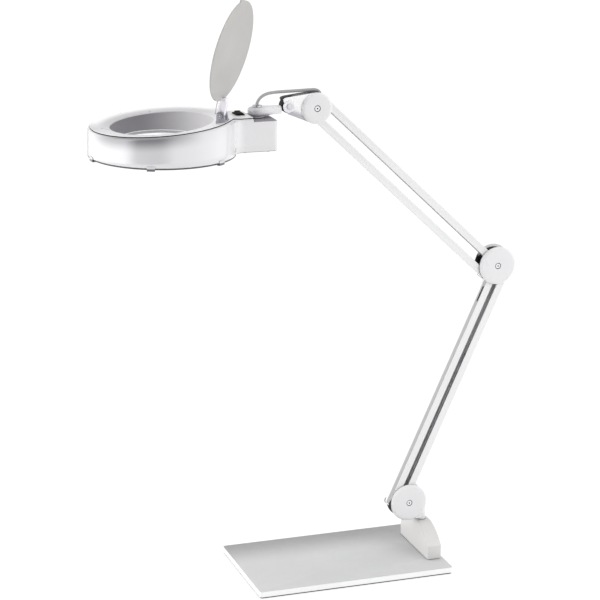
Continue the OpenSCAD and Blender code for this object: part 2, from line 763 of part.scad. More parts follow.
base_pad();
base_plate();
foot_gasket();
foot_block();
foot_screws();
swivel_bush();
swivel_pin();
swivel_collar();
base_bracket();
base_cheeks();
bracket_rivets();
base_cap_front();
base_cap_rear();
base_cap_screws();
base_pivot_pins();
lower_main_bar();
lower_spring();
lower_guide_bar();
elbow_cheeks();
elbow_cap_front();
elbow_cap_rear();
elbow_cap_screws();
elbow_pivot_pins();
upper_main_bar();
upper_spring();
upper_guide_bar();
wrist_hood();
wrist_cap_front();
wrist_cap_rear();
wrist_cap_screws();
wrist_pivot_pins();
tilt_pin();
tilt_knuckle();
head_link();
head_cable();
pan_washer();
pan_tube();
pan_nut();
head_housing();
diffuser();
diffuser_clips();
neck_cover();
neck_screws();
lens();
lens_ring();
ring_lamp();
lamp_clips();
lamp_socket();
ballast();
switch_bezel();
switch_rocker();
lid_bracket();
lid_hinge_pin();
lid_spring();
lens_lid();
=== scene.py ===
"""Spring-balanced magnifier lamp: a foot, two parallelogram arms and a ring-shaped lamp head.

Metres, +Z up. The arms move in the XZ plane, on the middle plane y = 0, and -Y is the front.
From the foot near x = 0 the lower arm rises towards +X; the upper arm runs back towards -X,
where the head hangs. Shapes are written in millimetres and scaled by MM when meshed.
"""
import math

import bpy
import bmesh
import numpy as np
from mathutils import Matrix, Vector

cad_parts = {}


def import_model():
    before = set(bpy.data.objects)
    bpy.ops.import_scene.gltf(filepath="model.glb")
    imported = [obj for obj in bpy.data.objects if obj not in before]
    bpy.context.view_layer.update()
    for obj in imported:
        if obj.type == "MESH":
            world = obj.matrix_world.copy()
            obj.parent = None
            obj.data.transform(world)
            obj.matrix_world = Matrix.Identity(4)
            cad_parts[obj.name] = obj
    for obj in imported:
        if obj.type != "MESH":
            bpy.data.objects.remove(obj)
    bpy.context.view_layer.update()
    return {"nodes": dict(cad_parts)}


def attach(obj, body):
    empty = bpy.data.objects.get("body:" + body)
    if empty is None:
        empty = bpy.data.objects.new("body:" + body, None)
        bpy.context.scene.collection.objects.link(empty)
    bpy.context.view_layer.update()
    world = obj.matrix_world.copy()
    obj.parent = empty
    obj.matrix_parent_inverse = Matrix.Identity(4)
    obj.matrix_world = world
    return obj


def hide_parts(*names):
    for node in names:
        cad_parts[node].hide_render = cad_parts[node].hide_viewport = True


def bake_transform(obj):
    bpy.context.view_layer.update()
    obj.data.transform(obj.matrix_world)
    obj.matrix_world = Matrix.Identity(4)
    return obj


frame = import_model()

NODES = frame["nodes"]
SCENE = bpy.context.scene
MM = 0.001


# --------------------------------------------------------------------------------------
# driving places and sizes, in millimetres; a pair is (x, z)
# --------------------------------------------------------------------------------------
def shifted(bar, dx, dz):
    return tuple((x + dx, z + dz) for x, z in bar)


BASE_PIVOT, ELBOW_PIVOT, WRIST_PIVOT = (-27.0, 96.0), (117.0, 489.0), (-197.0, 764.0)
TILT_PIVOT = (-242.0, 768.7)
PAN_X = -290.0  # upright axis of the pan bolt

# bar ends, foot side first; each main bar lies parallel to its guide bar
LOWER_GUIDE = ((-55.3, 96.0), (111.1, 472.5))
LOWER_MAIN = shifted(LOWER_GUIDE, 21.1, 0.0)
UPPER_GUIDE = ((97.0, 473.7), (-204.4, 756.9))
UPPER_MAIN = shifted(UPPER_GUIDE, 18.5, 19.7)

HEAD_X = -441.0  # upright axis of the head
HEAD_FOOT_Z = 706.5  # lower edge of the housing
HEAD_TOP_Z = 757.5  # tilted top plane, at the head's axis
HEAD_TILT = math.radians(4.4)
HEAD_RADIUS = 112.0

CAP_BACK = 10.2  # back of a cover cap, from the middle plane
SIDES = (("front", -1), ("rear", 1))
# name, pivot, cap radius, body it rides on
JOINTS = (
    ("base", BASE_PIVOT, 31.0, "swivel"),
    ("elbow", ELBOW_PIVOT, 31.0, "elbow"),
    ("wrist", WRIST_PIVOT, 24.5, "wrist"),
)


# --------------------------------------------------------------------------------------
# node kit
# --------------------------------------------------------------------------------------
class Nodes:
    """Builds the node tree of one material or world. Inputs may be values or sockets."""

    def __init__(self, owner, output="ShaderNodeOutputMaterial", coords="Object"):
        owner.use_nodes = True
        self.owner = owner
        self.tree = owner.node_tree
        self.tree.nodes.clear()
        self.output = self.add(output)
        self.position = self.add("ShaderNodeTexCoord").outputs[coords]

    def feed(self, socket, value):
        if isinstance(value, bpy.types.NodeSocket):
            self.tree.links.new(value, socket)
        elif socket.type == "RGBA":
            socket.default_value = (*value[:3], 1)
        else:
            socket.default_value = value

    def add(self, kind, inputs=None, **props):
        node = self.tree.nodes.new(kind)
        for key, value in props.items():
            setattr(node, key, value)
        for key, value in (inputs or {}).items():
            self.feed(node.inputs[key], value)
        return node

    def first(self, kind, inputs=None, **props):
        """Adds a node and returns its first output."""
        return self.add(kind, inputs, **props).outputs[0]

    def finish(self, shader):
        self.feed(self.output.inputs["Surface"], shader)
        return self.owner

    def remap(self, value, span, to=(0, 1), smooth=False):
        props = {"interpolation_type": "SMOOTHSTEP"} if smooth else {}
        inputs = {0: value, 1: span[0], 2: span[1], 3: to[0], 4: to[1]}
        return self.first("ShaderNodeMapRange", inputs, clamp=True, **props)

    def noise(self, scale, detail=3.0, rough=0.5, span=None, to=(0, 1),
              stretch=(1, 1, 1), offset=(0, 0, 0)):
        """Noise over the position; with a span it is remapped from the span to `to`."""
        place = {"Scale": stretch, "Location": offset, "Vector": self.position}
        vector = self.first("ShaderNodeMapping", place)
        look = {"Scale": scale, "Detail": detail, "Roughness": rough, "Vector": vector}
        value = self.add("ShaderNodeTexNoise", look).outputs["Fac"]
        return self.remap(value, span, to) if span else value

    def math(self, operation, *values):
        return self.first("ShaderNodeMath", dict(enumerate(values)), operation=operation)

    def dot(self, a, b):
        node = self.add("ShaderNodeVectorMath", {0: a, 1: b}, operation="DOT_PRODUCT")
        return node.outputs["Value"]

    def separate(self, vector):
        return self.add("ShaderNodeSeparateXYZ", {0: vector}).outputs

    def from_head_axis(self):
        """Position measured from the head's upright axis."""
        inputs = {0: self.position, 1: (-HEAD_X * MM, 0.0, 0.0)}
        return self.first("ShaderNodeVectorMath", inputs, operation="ADD")

    def mix(self, factor, a, b):
        inputs = {0: factor, 6: a, 7: b}
        return self.add("ShaderNodeMix", inputs, data_type="RGBA").outputs[2]

    def mix_float(self, factor, a, b):
        return self.first("ShaderNodeMix", {0: factor, 2: a, 3: b}, data_type="FLOAT")

    def mix_shader(self, factor, a, b):
        return self.first("ShaderNodeMixShader", {0: factor, 1: a, 2: b})

    def bump(self, height, strength, distance):
        inputs = {"Strength": strength, "Distance": distance * MM, "Height": height}
        return self.add("ShaderNodeBump", inputs)


def material_nodes(name):
    return Nodes(bpy.data.materials.new(name))


def scaled(colour, factor):
    return tuple(max(0.0, min(1.0, channel * factor)) for channel in colour)


def metres(span):
    return tuple(value * MM for value in span)


# --------------------------------------------------------------------------------------
# general surface material
# --------------------------------------------------------------------------------------
def axis_painted_shade(t, colour_in, axis, span, colour, amount):
    """Painted shade: a darker colour, at `amount` at the span's first place and gone at its
    second.
    """
    along = t.separate(t.position)[axis]
    fade = t.remap(along, metres(span), (amount, 0.0), smooth=True)
    return t.mix(fade, colour_in, colour)


def slope_painted_shade(t, colour_in, facing, direction, span, colour, amount):
    """Painted shade growing to `amount` along a direction; `facing` limits it to one
    side of the head, down to its least share on the other."""
    fade = t.remap(t.dot(t.position, direction), metres(span), (0.0, amount), smooth=True)
    if facing:
        towards = t.dot(t.from_head_axis(), facing["direction"])
        side = t.remap(towards, metres(facing["span"]), (facing["least"], 1.0), smooth=True)
        fade = t.math("MULTIPLY", fade, side)
    return t.mix(fade, colour_in, colour)


def rim_painted_highlight(t, colour_in, radius, y_span, colour):
    """Painted highlight: a lighter colour on the outer part of the head's top, growing towards
    +Y.
    """
    place = t.separate(t.from_head_axis())
    x, y = place["X"], place["Y"]
    squares = t.math("ADD", t.math("MULTIPLY", x, x), t.math("MULTIPLY", y, y))
    outward = t.remap(t.math("SQRT", squares), metres(radius), smooth=True)
    fade = t.math("MULTIPLY", outward, t.remap(y, metres(y_span), smooth=True))
    return t.mix(fade, colour_in, colour)


def edge_wear(t, colour_in, rounded, colour, amount):
    """Patchy rubbed edges, found where the rounded normal leaves the true one."""
    true_normal = t.add("ShaderNodeNewGeometry").outputs["Normal"]
    away = t.math("SUBTRACT", 1.0, t.dot(rounded, true_normal))
    rub = t.remap(away, span=(0.02, 0.22))
    patch = t.noise(scale=160, detail=4.0, rough=0.6, span=(0.40, 0.62), offset=(0.3, 2.2, 5.0))
    rub = t.math("MULTIPLY", t.math("MULTIPLY", rub, patch), amount)
    return t.mix(rub, colour_in, colour)


def scratches(t, depth):
    """Extra roughness along two families of fine streaks."""
    first = t.noise(scale=240, detail=2.0, stretch=(1.0, 0.12, 2.4))
    second = t.noise(scale=240, detail=2.0, stretch=(2.2, 1.0, 0.1), offset=(2, 2, 2))
    return t.remap(t.math("MAXIMUM", first, second), span=(0.66, 0.74), to=(0, depth))


def surface(name, base, rough=0.35, spec=0.5, metal=0.0, coat=0.0, coat_rough=0.08,
            coat_ior=1.5, drift=0.03, drift_scale=9.0, tone=None, grain=0.02,
            grain_scale=1500.0, wave=0.0, gloss_var=0.06, scratch=0.05, bevel=0.5, edge=None,
            edge_amount=0.6, sss=0.0, brushed=None, gradient=None, slope=None, facing=None,
            rim=None):
    """Two scales of colour drift, uneven gloss, fine scratches, grain and rubbed edges.

    grain is the bump height and bevel the edge radius, both in mm; tone is the colour the
    base drifts towards; wave adds slow ripples; gloss_var is the swing of the roughness.
    """
    t = material_nodes(name)
    broad = t.noise(scale=drift_scale, span=(0.36, 0.64))
    fine = t.noise(scale=drift_scale * 14, detail=4.0, rough=0.55, span=(0.35, 0.65),
                   offset=(3.1, 1.7, 0.4))
    colour = t.mix(broad, scaled(base, 1 - drift), scaled(tone or base, 1 + drift))
    colour = t.mix(t.math("MULTIPLY", fine, 0.35), colour, scaled(base, 1 - 1.6 * drift))
    # gradient, slope and rim paint shade and highlights into the colour
    if gradient:
        colour = axis_painted_shade(t, colour, **gradient)
    if slope:
        colour = slope_painted_shade(t, colour, facing, **slope)
    if rim:
        colour = rim_painted_highlight(t, colour, **rim)
    if bevel:
        rounded = t.first("ShaderNodeBevel", {"Radius": bevel * MM}, samples=4)
    if edge:
        colour = edge_wear(t, colour, rounded, edge, edge_amount)

    roughness = t.noise(scale=70.0, detail=5.0, rough=0.6, span=(0.3, 0.7),
                        to=(max(0.02, rough - gloss_var), rough + gloss_var),
                        offset=(7.7, 0.2, 1.0))
    if scratch:
        roughness = t.math("ADD", roughness, scratches(t, scratch))

    height = t.noise(scale=grain_scale, detail=2.0)
    if wave:
        slow = t.noise(scale=140, detail=2.0, rough=0.4, offset=(1, 5, 2))
        height = t.math("ADD", height, t.math("MULTIPLY", slow, wave))
    if brushed:
        lines = t.noise(scale=900, rough=0.6, stretch=brushed)
        height = t.math("ADD", height, t.math("MULTIPLY", lines, 1.5))
        streaks = t.remap(lines, span=(0.3, 0.7), to=(max(0.05, rough - 0.1), rough + 0.14))
        roughness = t.math("MULTIPLY", t.math("ADD", streaks, roughness), 0.5)
    bump = t.bump(height, strength=0.6, distance=grain)
    if bevel:
        t.feed(bump.inputs["Normal"], rounded)

    inputs = {
        "Base Color": colour,
        "Roughness": roughness,
        "Metallic": metal,
        "IOR": 1.5,
        "Specular IOR Level": spec,
        "Coat Weight": coat,
        "Coat Roughness": coat_rough,
        "Coat IOR": coat_ior,
        "Normal": bump.outputs[0],
    }
    if sss:
        inputs["Subsurface Weight"] = sss
        inputs["Subsurface Radius"] = (1.0, 0.9, 0.85)
        inputs["Subsurface Scale"] = 4 * MM
    return t.finish(t.first("ShaderNodeBsdfPrincipled", inputs))


# --------------------------------------------------------------------------------------
# surface materials; spans are in millimetres
# --------------------------------------------------------------------------------------
M = {}

# head
M["housing"] = surface(
    "housing_white", (0.645, 0.635, 0.655), rough=0.14, spec=0.9, coat=1.0, coat_rough=0.03,
    coat_ior=1.75, drift=0.010, drift_scale=7, tone=(0.645, 0.635, 0.645), grain=0.005,
    wave=0.5, gloss_var=0.03, scratch=0.03, bevel=0.6,
    # painted shade: the wall darkens towards its top, most on the front-left
    slope=dict(direction=(-0.0769, 0.0, 1.0), span=(766.0, 788.5),
               colour=(0.13, 0.125, 0.14), amount=0.86),
    facing=dict(direction=(-0.588, -0.809, 0.0), span=(60, 110), least=0.10))
M["top"] = surface(
    "housing_top", (0.74, 0.73, 0.745), rough=0.3, coat=0.2, coat_rough=0.12, drift=0.014,
    grain=0.01, wave=1.0, gloss_var=0.04, scratch=0.04,
    # painted shade darkening the top towards the back, and a painted highlight on its outer back
    # rim
    gradient=dict(axis="Y", span=(50, -60), colour=(0.50, 0.49, 0.505), amount=0.95),
    rim=dict(radius=(84, 103), y_span=(0, 55), colour=(0.93, 0.93, 0.93)))
# the funnel is painted grey as shade, darker still towards -X
M["funnel"] = surface(
    "housing_inner_painted_shade", (0.52, 0.51, 0.52), rough=0.5, spec=0.3, drift=0.02, grain=0.03,
    grain_scale=1100, gloss_var=0.05, bevel=0.4,
    gradient=dict(axis="X", span=(-460, -345), colour=(0.185, 0.18, 0.195), amount=0.97))
M["gap"] = surface(
    "shadow_gap", (0.022, 0.021, 0.024), rough=0.85, spec=0.1, drift=0.08, grain=0.04,
    bevel=0, scratch=0)
M["reflector"] = surface(
    "chamber_white", (0.83, 0.83, 0.84), rough=0.42, drift=0.015, bevel=0.3)

# white plastic and paint
M["white_plastic"] = surface(
    "white_plastic_caps", (0.725, 0.725, 0.735), rough=0.3, coat=0.2, coat_rough=0.12,
    drift=0.012, drift_scale=12, grain=0.012, wave=0.8, gloss_var=0.05, bevel=0.4,
    edge=(0.88, 0.88, 0.89))
M["white_paint"] = surface(
    "white_powder_coat", (0.765, 0.765, 0.77), rough=0.36, spec=0.45, coat=0.12,
    coat_rough=0.2, drift=0.012, drift_scale=14, grain=0.03, grain_scale=1300, wave=0.6,
    gloss_var=0.07, bevel=0.6, edge=(0.72, 0.72, 0.73), edge_amount=0.35)
# plate top in a shaded copy of the plate's paint, darker still towards the back: painted shade
M["plate_paint"] = surface(
    "plate_powder_coat", (0.57, 0.572, 0.575), rough=0.45, spec=0.35, drift=0.02,
    drift_scale=7, tone=(0.575, 0.576, 0.58), grain=0.05, grain_scale=1150, wave=0.5,
    gloss_var=0.08, scratch=0.1, bevel=0.8, edge=(0.5, 0.5, 0.51), edge_amount=0.35,
    gradient=dict(axis="Y", span=(100, 10), colour=(0.29, 0.29, 0.292), amount=0.9))
# lit copy of the plate's paint for its rim: painted light
M["plate_edge"] = surface(
    "plate_edge_painted_light", (0.86, 0.86, 0.865), rough=0.36, drift=0.015, drift_scale=12,
    grain=0.04, grain_scale=1150, bevel=0.6, edge=(0.7, 0.7, 0.71), edge_amount=0.4)
M["warm_white_paint"] = surface(
    "foot_powder_coat", (0.65, 0.642, 0.633), rough=0.44, spec=0.4, drift=0.02,
    drift_scale=10, grain=0.05, grain_scale=1150, gloss_var=0.07, bevel=0.9,
    edge=(0.66, 0.65, 0.64), edge_amount=0.35)
M["grey_paint"] = surface(
    "link_casting_paint", (0.74, 0.73, 0.75), rough=0.24, spec=0.6, coat=0.4, drift=0.02,
    drift_scale=30, grain_scale=900, wave=1.5, gloss_var=0.05, bevel=0.6,
    edge=(0.8, 0.8, 0.82),
    # painted shade darkening the link towards its round end
    gradient=dict(axis="X", span=(-305.5, -272), colour=(0.34, 0.335, 0.355), amount=0.9))

# metal
M["steel"] = surface(
    "machined_steel", (0.60, 0.61, 0.63), rough=0.28, metal=1.0, drift=0.05, drift_scale=60,
    grain=0.01, gloss_var=0.08, brushed=(1, 1, 14), bevel=0.2, edge=(0.85, 0.85, 0.86))
M["spring_steel"] = surface(
    "drawn_spring_wire", (0.46, 0.46, 0.475), rough=0.34, metal=1.0, drift=0.12,
    drift_scale=80, grain=0.01, gloss_var=0.1, bevel=0, scratch=0.08)

# black parts, with the cheek plates painted near-black as the shadow lines between the caps
M["black_steel"] = surface(
    "cheek_black_painted_shade", (0.028, 0.028, 0.031), rough=0.42, drift=0.15, drift_scale=25,
    grain=0.03, gloss_var=0.08, bevel=0.3, edge=(0.12, 0.12, 0.13), edge_amount=0.7)
M["black_rubber"] = surface(
    "foot_pad_rubber", (0.008, 0.008, 0.009), rough=0.85, spec=0.06, drift=0.2,
    drift_scale=30, grain=0.08, grain_scale=900, gloss_var=0.1, bevel=0.4,
    edge=(0.07, 0.07, 0.07))
M["black_plastic"] = surface(
    "black_switch_plastic", (0.006, 0.006, 0.007), rough=0.55, spec=0.08, drift=0.15,
    drift_scale=40, grain=0.04, grain_scale=1600, gloss_var=0.08, bevel=0.3,
    edge=(0.08, 0.08, 0.09))

# wrist hood, neck step, screws and small plastic parts
M["hood_plastic"] = surface(
    "hood_plastic", (0.90, 0.90, 0.905), rough=0.28, coat=0.2, coat_rough=0.1, drift=0.012,
    drift_scale=14, grain=0.012, wave=0.8, gloss_var=0.05, bevel=0.6,
    edge=(0.88, 0.88, 0.89),
    # painted shade along the hood's lower edge
    slope=dict(direction=(-0.386, 0.0, -0.9225), span=(-616.5, -608.5),
               colour=(0.40, 0.39, 0.43), amount=0.9))
M["hood_shade"] = surface(
    "hood_shade", (0.17, 0.165, 0.175), rough=0.6, spec=0.2, drift=0.05, bevel=0.3)
# painted shadow of the link on the neck's step
M["step_shade"] = surface(
    "neck_step_painted_shade", (0.25, 0.24, 0.265), rough=0.5, spec=0.15, drift=0.02, gloss_var=0.05)
M["white_edge"] = surface(
    "screw_white", (0.80, 0.80, 0.81), drift=0.02, grain=0.01, gloss_var=0.05, bevel=0.2)
M["lid_arm"] = surface(
    "lid_arm_plastic", (0.82, 0.805, 0.85), rough=0.26, spec=0.55, drift=0.02,
    drift_scale=30, grain=0.01, wave=1.0, bevel=0.6, edge=(0.8, 0.79, 0.83), sss=0.2)
M["grey_plastic"] = surface(
    "bush_plastic", (0.40, 0.40, 0.42), rough=0.5, drift=0.04, bevel=0.3)
M["ring_grey"] = surface(
    "lens_ring_grey", (0.33, 0.325, 0.335), rough=0.45, spec=0.4, bevel=0.3, grain=0.01)
# near-black painted shade for the diffuser's outer rim and the slot's lip
M["painted_shade_rim"] = surface(
    "diffuser_rim_painted_shade", (0.07, 0.07, 0.075), spec=0.4, drift=0.08, bevel=0.3, grain=0.01)
M["clip"] = surface(
    "clip_plastic", (0.60, 0.59, 0.61), rough=0.3, drift=0.02, grain=0.01, bevel=0.2,
    # painted shade: the clips go dark where they reach below the housing's foot
    gradient=dict(axis="Z", span=(705.8, 706.8), colour=(0.13, 0.125, 0.135), amount=1.0))
# painted shade on the guide bar's upper-left side, darkest towards the front
M["bar_edge"] = surface(
    "bar_side_painted_shade", (0.765, 0.765, 0.77), rough=0.4, spec=0.4, drift=0.02, grain=0.01,
    bevel=0,
    gradient=dict(axis="Y", span=(0.5, 3.0), colour=(0.35, 0.35, 0.355), amount=1.0))
# the washer's grey and its black foot are painted shade under the link
M["washer"] = surface(
    "pan_washer_plastic", (0.42, 0.41, 0.44), rough=0.45, spec=0.3, drift=0.04, grain=0.01,
    bevel=0.3,
    gradient=dict(axis="Z", span=(753.8, 755.2), colour=(0.02, 0.02, 0.022), amount=1.0))
M["lilac_plastic"] = surface(
    "hinge_plastic", (0.31, 0.30, 0.34), rough=0.28, drift_scale=40, grain=0.01, wave=1.0,
    edge=(0.7, 0.69, 0.73), sss=0.2,
    # painted shade: darker towards the bottom, under the lid
    gradient=dict(axis="Z", span=(778, 766), colour=(0.20, 0.19, 0.225), amount=0.7))
M["cable_pvc"] = surface(
    "cable_sheath", (0.33, 0.33, 0.34), rough=0.3, spec=0.6, drift_scale=50, wave=1.0,
    bevel=0)
# the channel's inside is painted grey as shade
M["channel"] = surface(
    "channel_painted_shade", (0.52, 0.52, 0.53), rough=0.6, drift=0.05, drift_scale=30, grain=0.03,
    bevel=0, scratch=0)


# --------------------------------------------------------------------------------------
# frosted, clear and opal materials
# --------------------------------------------------------------------------------------
def lid_material():
    t = material_nodes("lid_frosted_plastic")
    broad = t.noise(scale=16, span=(0.35, 0.65))
    fine = t.noise(scale=420, detail=4.0, rough=0.6, span=(0.35, 0.65))
    colour = t.mix(broad, (0.475, 0.468, 0.456), (0.505, 0.498, 0.486))
    colour = t.mix(t.math("MULTIPLY", fine, 0.18), colour, (0.50, 0.493, 0.482))
    bump = t.bump(t.noise(scale=1400, detail=2.0), strength=0.5, distance=0.03)
    body = t.first("ShaderNodeBsdfPrincipled", {
        "Base Color": colour,
        "Roughness": t.noise(scale=90, detail=4.0, rough=0.6, span=(0.3, 0.7),
                             to=(0.28, 0.36)),
        "Specular IOR Level": 0.45,
        "Normal": bump.outputs[0],
    })
    through = {"Color": t.mix(0.5, colour, (0.85, 0.84, 0.82))}
    translucent = t.first("ShaderNodeBsdfTranslucent", through)
    return t.finish(t.mix_shader(0.22, body, translucent))


def clear_material(name, tint, haze, gloss_rough, haze_colour, smudge_scale, glow=0.0):
    """Tinted see-through body, gloss that grows towards grazing view, and uneven haze; glow
    makes the haze shine as painted light.
    """
    t = material_nodes(name)
    smudge = t.noise(scale=smudge_scale, detail=4.0, rough=0.6, span=(0.42, 0.7))
    body_colour = t.mix(t.math("MULTIPLY", smudge, 0.25), tint, scaled(tint, 0.97))
    clear = t.first("ShaderNodeBsdfTransparent", {"Color": body_colour})
    gloss = t.first("ShaderNodeBsdfGlossy", {
        "Roughness": t.noise(scale=35, rough=0.6, span=(0.4, 0.75),
                             to=(gloss_rough, gloss_rough * 2), offset=(4, 4, 1)),
        "Color": (1, 1, 1),
    })
    diffuse = t.first("ShaderNodeBsdfDiffuse", {"Color": haze_colour})
    translucent = t.first("ShaderNodeBsdfTranslucent", {"Color": haze_colour})
    veil = t.mix_shader(0.5, diffuse, translucent)
    if glow:
        emission = t.first("ShaderNodeEmission", {"Strength": glow})
        veil = t.first("ShaderNodeAddShader", {0: veil, 1: emission})
    haze_share = t.math("MULTIPLY_ADD", smudge, haze * 0.3, haze * 0.8)
    hazy = t.mix_shader(haze_share, clear, veil)
    fresnel = t.first("ShaderNodeFresnel", {"IOR": 1.45})
    return t.finish(t.mix_shader(t.math("MULTIPLY", fresnel, 0.7), hazy, gloss))


def lamp_material():
    t = material_nodes("opal_lamp_tube")
    tint = t.noise(scale=40, span=(0.35, 0.65))
    return t.finish(t.first("ShaderNodeBsdfPrincipled", {
        "Base Color": t.mix(tint, (0.86, 0.86, 0.87), (0.9, 0.9, 0.9)),
        "Roughness": t.noise(scale=120, span=(0.3, 0.7), to=(0.12, 0.24)),
        "Subsurface Weight": 0.3,
        "Subsurface Scale": 3 * MM,
        "Coat Weight": 0.6,
        "Coat Roughness": 0.04,
    }))


M["lid_plastic"] = lid_material()
# the lens glows a little as painted light
M["lens_glass"] = clear_material(
    "lens_glass", tint=(0.96, 0.96, 0.965), haze=0.62, gloss_rough=0.02,
    haze_colour=(0.97, 0.97, 0.975), smudge_scale=22.0, glow=0.52)
M["clear_plastic"] = clear_material(
    "diffuser_plastic", tint=(0.88, 0.885, 0.90), haze=0.40, gloss_rough=0.10,
    haze_colour=(0.74, 0.75, 0.77), smudge_scale=9.0)
M["lamp_glass"] = lamp_material()


# --------------------------------------------------------------------------------------
# mesh kit
# --------------------------------------------------------------------------------------
def shade(mesh, angle):
    """Smooth shading, kept sharp at edges steeper than the angle in degrees."""
    mesh.polygons.foreach_set("use_smooth", [True] * len(mesh.polygons))
    mesh.set_sharp_from_angle(angle=math.radians(angle))
    mesh.update()


def register(obj, body=None, replaced=()):
    """Tells the frame what the object rides on and what it replaces."""
    if body:
        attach(obj, body)
    if replaced:
        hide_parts(*replaced)


def new_object(name, mesh, materials):
    for key in materials:
        mesh.materials.append(M[key])
    obj = bpy.data.objects.new(name, mesh)
    SCENE.collection.objects.link(obj)
    return obj


def make(name, verts, faces, materials, body=None, replaced=(), index=None,
         angle=38.0):
    """An object from millimetre vertices; materials are keys of M, index is per face."""
    mesh = bpy.data.meshes.new(name)
    scaled_verts = [tuple(float(value) * MM for value in vert) for vert in verts]
    mesh.from_pydata(scaled_verts, [], [tuple(face) for face in faces])
    bm = bmesh.new()
    bm.from_mesh(mesh)
    bmesh.ops.recalc_face_normals(bm, faces=bm.faces)
    bm.to_mesh(mesh)
    bm.free()
    obj = new_object(name, mesh, materials)
    if index is not None:
        mesh.polygons.foreach_set("material_index", index)
    shade(mesh, angle)
    register(obj, body, replaced)
    return obj


def refine(node, body, slot, materials=None, width=0.5, segments=2, hard_angle=30.0,
           pick=None):
    """A welded copy of a CAD solid with its hard edges rounded over, standing for it.

    The slot's own material is used unless others are given; pick(centre, normal)
    chooses between them for each face, with the centre in mm.
    """
    bm = bmesh.new()
    bm.from_mesh(NODES[node].data)
    bmesh.ops.remove_doubles(bm, verts=bm.verts, dist=3e-6)
    bmesh.ops.dissolve_limit(bm, angle_limit=math.radians(0.6), use_dissolve_boundaries=False,
                             verts=bm.verts, edges=bm.edges)
    bmesh.ops.recalc_face_normals(bm, faces=bm.faces)
    for face in bm.faces:
        face.material_index = 0
    limit = math.radians(hard_angle)
    sharp = [e for e in bm.edges if len(e.link_faces) == 2 and e.calc_face_angle(0.0) > limit]
    if sharp:
        bmesh.ops.bevel(bm, geom=sharp, offset=width * MM, offset_type="OFFSET",
                        segments=segments, profile=0.5, affect="EDGES", clamp_overlap=True,
                        loop_slide=True, miter_outer="SHARP", material=-1)
    bmesh.ops.dissolve_degenerate(bm, dist=1e-7, edges=bm.edges)
    mesh = bpy.data.meshes.new(node + "_shape")
    bm.to_mesh(mesh)
    bm.free()
    # stored CAD normals would override the new shading
    if "custom_normal" in mesh.attributes:
        mesh.attributes.remove(mesh.attributes["custom_normal"])
    obj = new_object(node + "_shell", mesh, materials or (slot,))
    if pick:
        for face in mesh.polygons:
            face.material_index = int(pick(face.center / MM, face.normal))
    shade(mesh, 40.0)
    register(obj, body, (node,))


def cut_out(obj, cutters):
    """Subtracts the cutters from the object and removes them."""
    for cutter in cutters:
        modifier = obj.modifiers.new("cut", "BOOLEAN")
        modifier.operation = "DIFFERENCE"
        modifier.object = cutter
        modifier.solver = "EXACT"
    depsgraph = bpy.context.evaluated_depsgraph_get()
    mesh = bpy.data.meshes.new_from_object(obj.evaluated_get(depsgraph))
    obj.modifiers.clear()
    uncut = obj.data
    obj.data = mesh
    bpy.data.meshes.remove(uncut)
    for cutter in cutters:
        bpy.data.objects.remove(cutter)


def grid_faces(rows, columns, closed=False):
    """Quads between rings of points; closed also joins the last ring to the first."""
    faces = []
    for i in range(rows if closed else rows - 1):
        below, above = i * columns, (i + 1) % rows * columns
        for j in range(columns):
            k = (j + 1) % columns
            faces.append((below + j, below + k, above + k, above + j))
    return faces


def end_caps(rows, columns):
    """Faces that close the first and the last ring."""
    count = rows * columns
    return [tuple(range(columns - 1, -1, -1)), tuple(range(count - columns, count))]


def joined(parts):
    verts, faces = [], []
    for part_verts, part_faces in parts:
        start = len(verts)
        verts += list(part_verts)
        faces += [tuple(start + i for i in face) for face in part_faces]
    return verts, faces


def tube(points, radius, sides):
    """Round tube along a polyline, with domed ends."""
    dome = (0.25, 0.6, 0.88)  # ring sizes over an end, as shares of the radius
    points = np.array(points, float)
    tangent = np.gradient(points, axis=0)
    tangent /= np.linalg.norm(tangent, axis=1)[:, None]
    aside = [0.0, 1.0, 0.0] if abs(tangent[0][1]) < 0.9 else [1.0, 0.0, 0.0]
    # the normal is carried along the path, so that the tube doesn't twist
    normal = np.zeros_like(points)
    across = np.cross(tangent[0], np.array(aside))
    normal[0] = across / np.linalg.norm(across)
    for i in range(1, len(points)):
        across = normal[i - 1] - tangent[i] * (normal[i - 1] @ tangent[i])
        normal[i] = across / np.linalg.norm(across)
    binormal = np.cross(tangent, normal)
    angles = np.linspace(0, 2 * math.pi, sides, endpoint=False)
    cos, sin = np.cos(angles)[:, None], np.sin(angles)[:, None]

    def ring(i, size=1.0, outward=0):
        bulge = outward * tangent[i] * radius * math.cos(math.asin(size)) * 0.6
        return points[i] + bulge + size * radius * (cos * normal[i] + sin * binormal[i])

    rings = [ring(0, size, -1) for size in dome]
    rings += [ring(i) for i in range(len(points))]
    rings += [ring(-1, size, 1) for size in reversed(dome)]
    faces = grid_faces(len(rings), sides) + end_caps(len(rings), sides)
    return np.concatenate(rings), faces


def smooth_path(controls, steps):
    """Catmull-Rom curve through the control points."""
    points = np.array(controls, float)
    points = np.vstack([2 * points[0] - points[1], points, 2 * points[-1] - points[-2]])
    path = []
    for i in range(1, len(points) - 2):
        before, start, end, after = points[i - 1:i + 3]
        for k in range(steps):
            t = k / steps
            path.append(0.5 * (2 * start + (end - before) * t
                               + (2 * before - 5 * start + 4 * end - after) * t * t
                               + (-before + 3 * start - 3 * end + after) * t ** 3))
    path.append(points[-2])
    return path


def lathe(profile, centre, back, side, sides):
    """Closed profile [(radius, height)] turned about the Y line through the (x, z) centre.

    Heights grow away from the middle plane, starting at `back`; side is -1 or 1.
    """
    angles = np.linspace(0, 2 * math.pi, sides, endpoint=False)
    verts = [(centre[0] + radius * math.cos(angle), side * (back + height),
              centre[1] + radius * math.sin(angle))
             for radius, height in profile for angle in angles]
    return verts, grid_faces(len(profile), sides, closed=True)


def strip_index(profile, sides, test):
    """Material 1 on the strips whose two profile points pass the test, else 0."""
    following = profile[1:] + profile[:1]
    return [int(test(a, b)) for a, b in zip(profile, following) for _ in range(sides)]


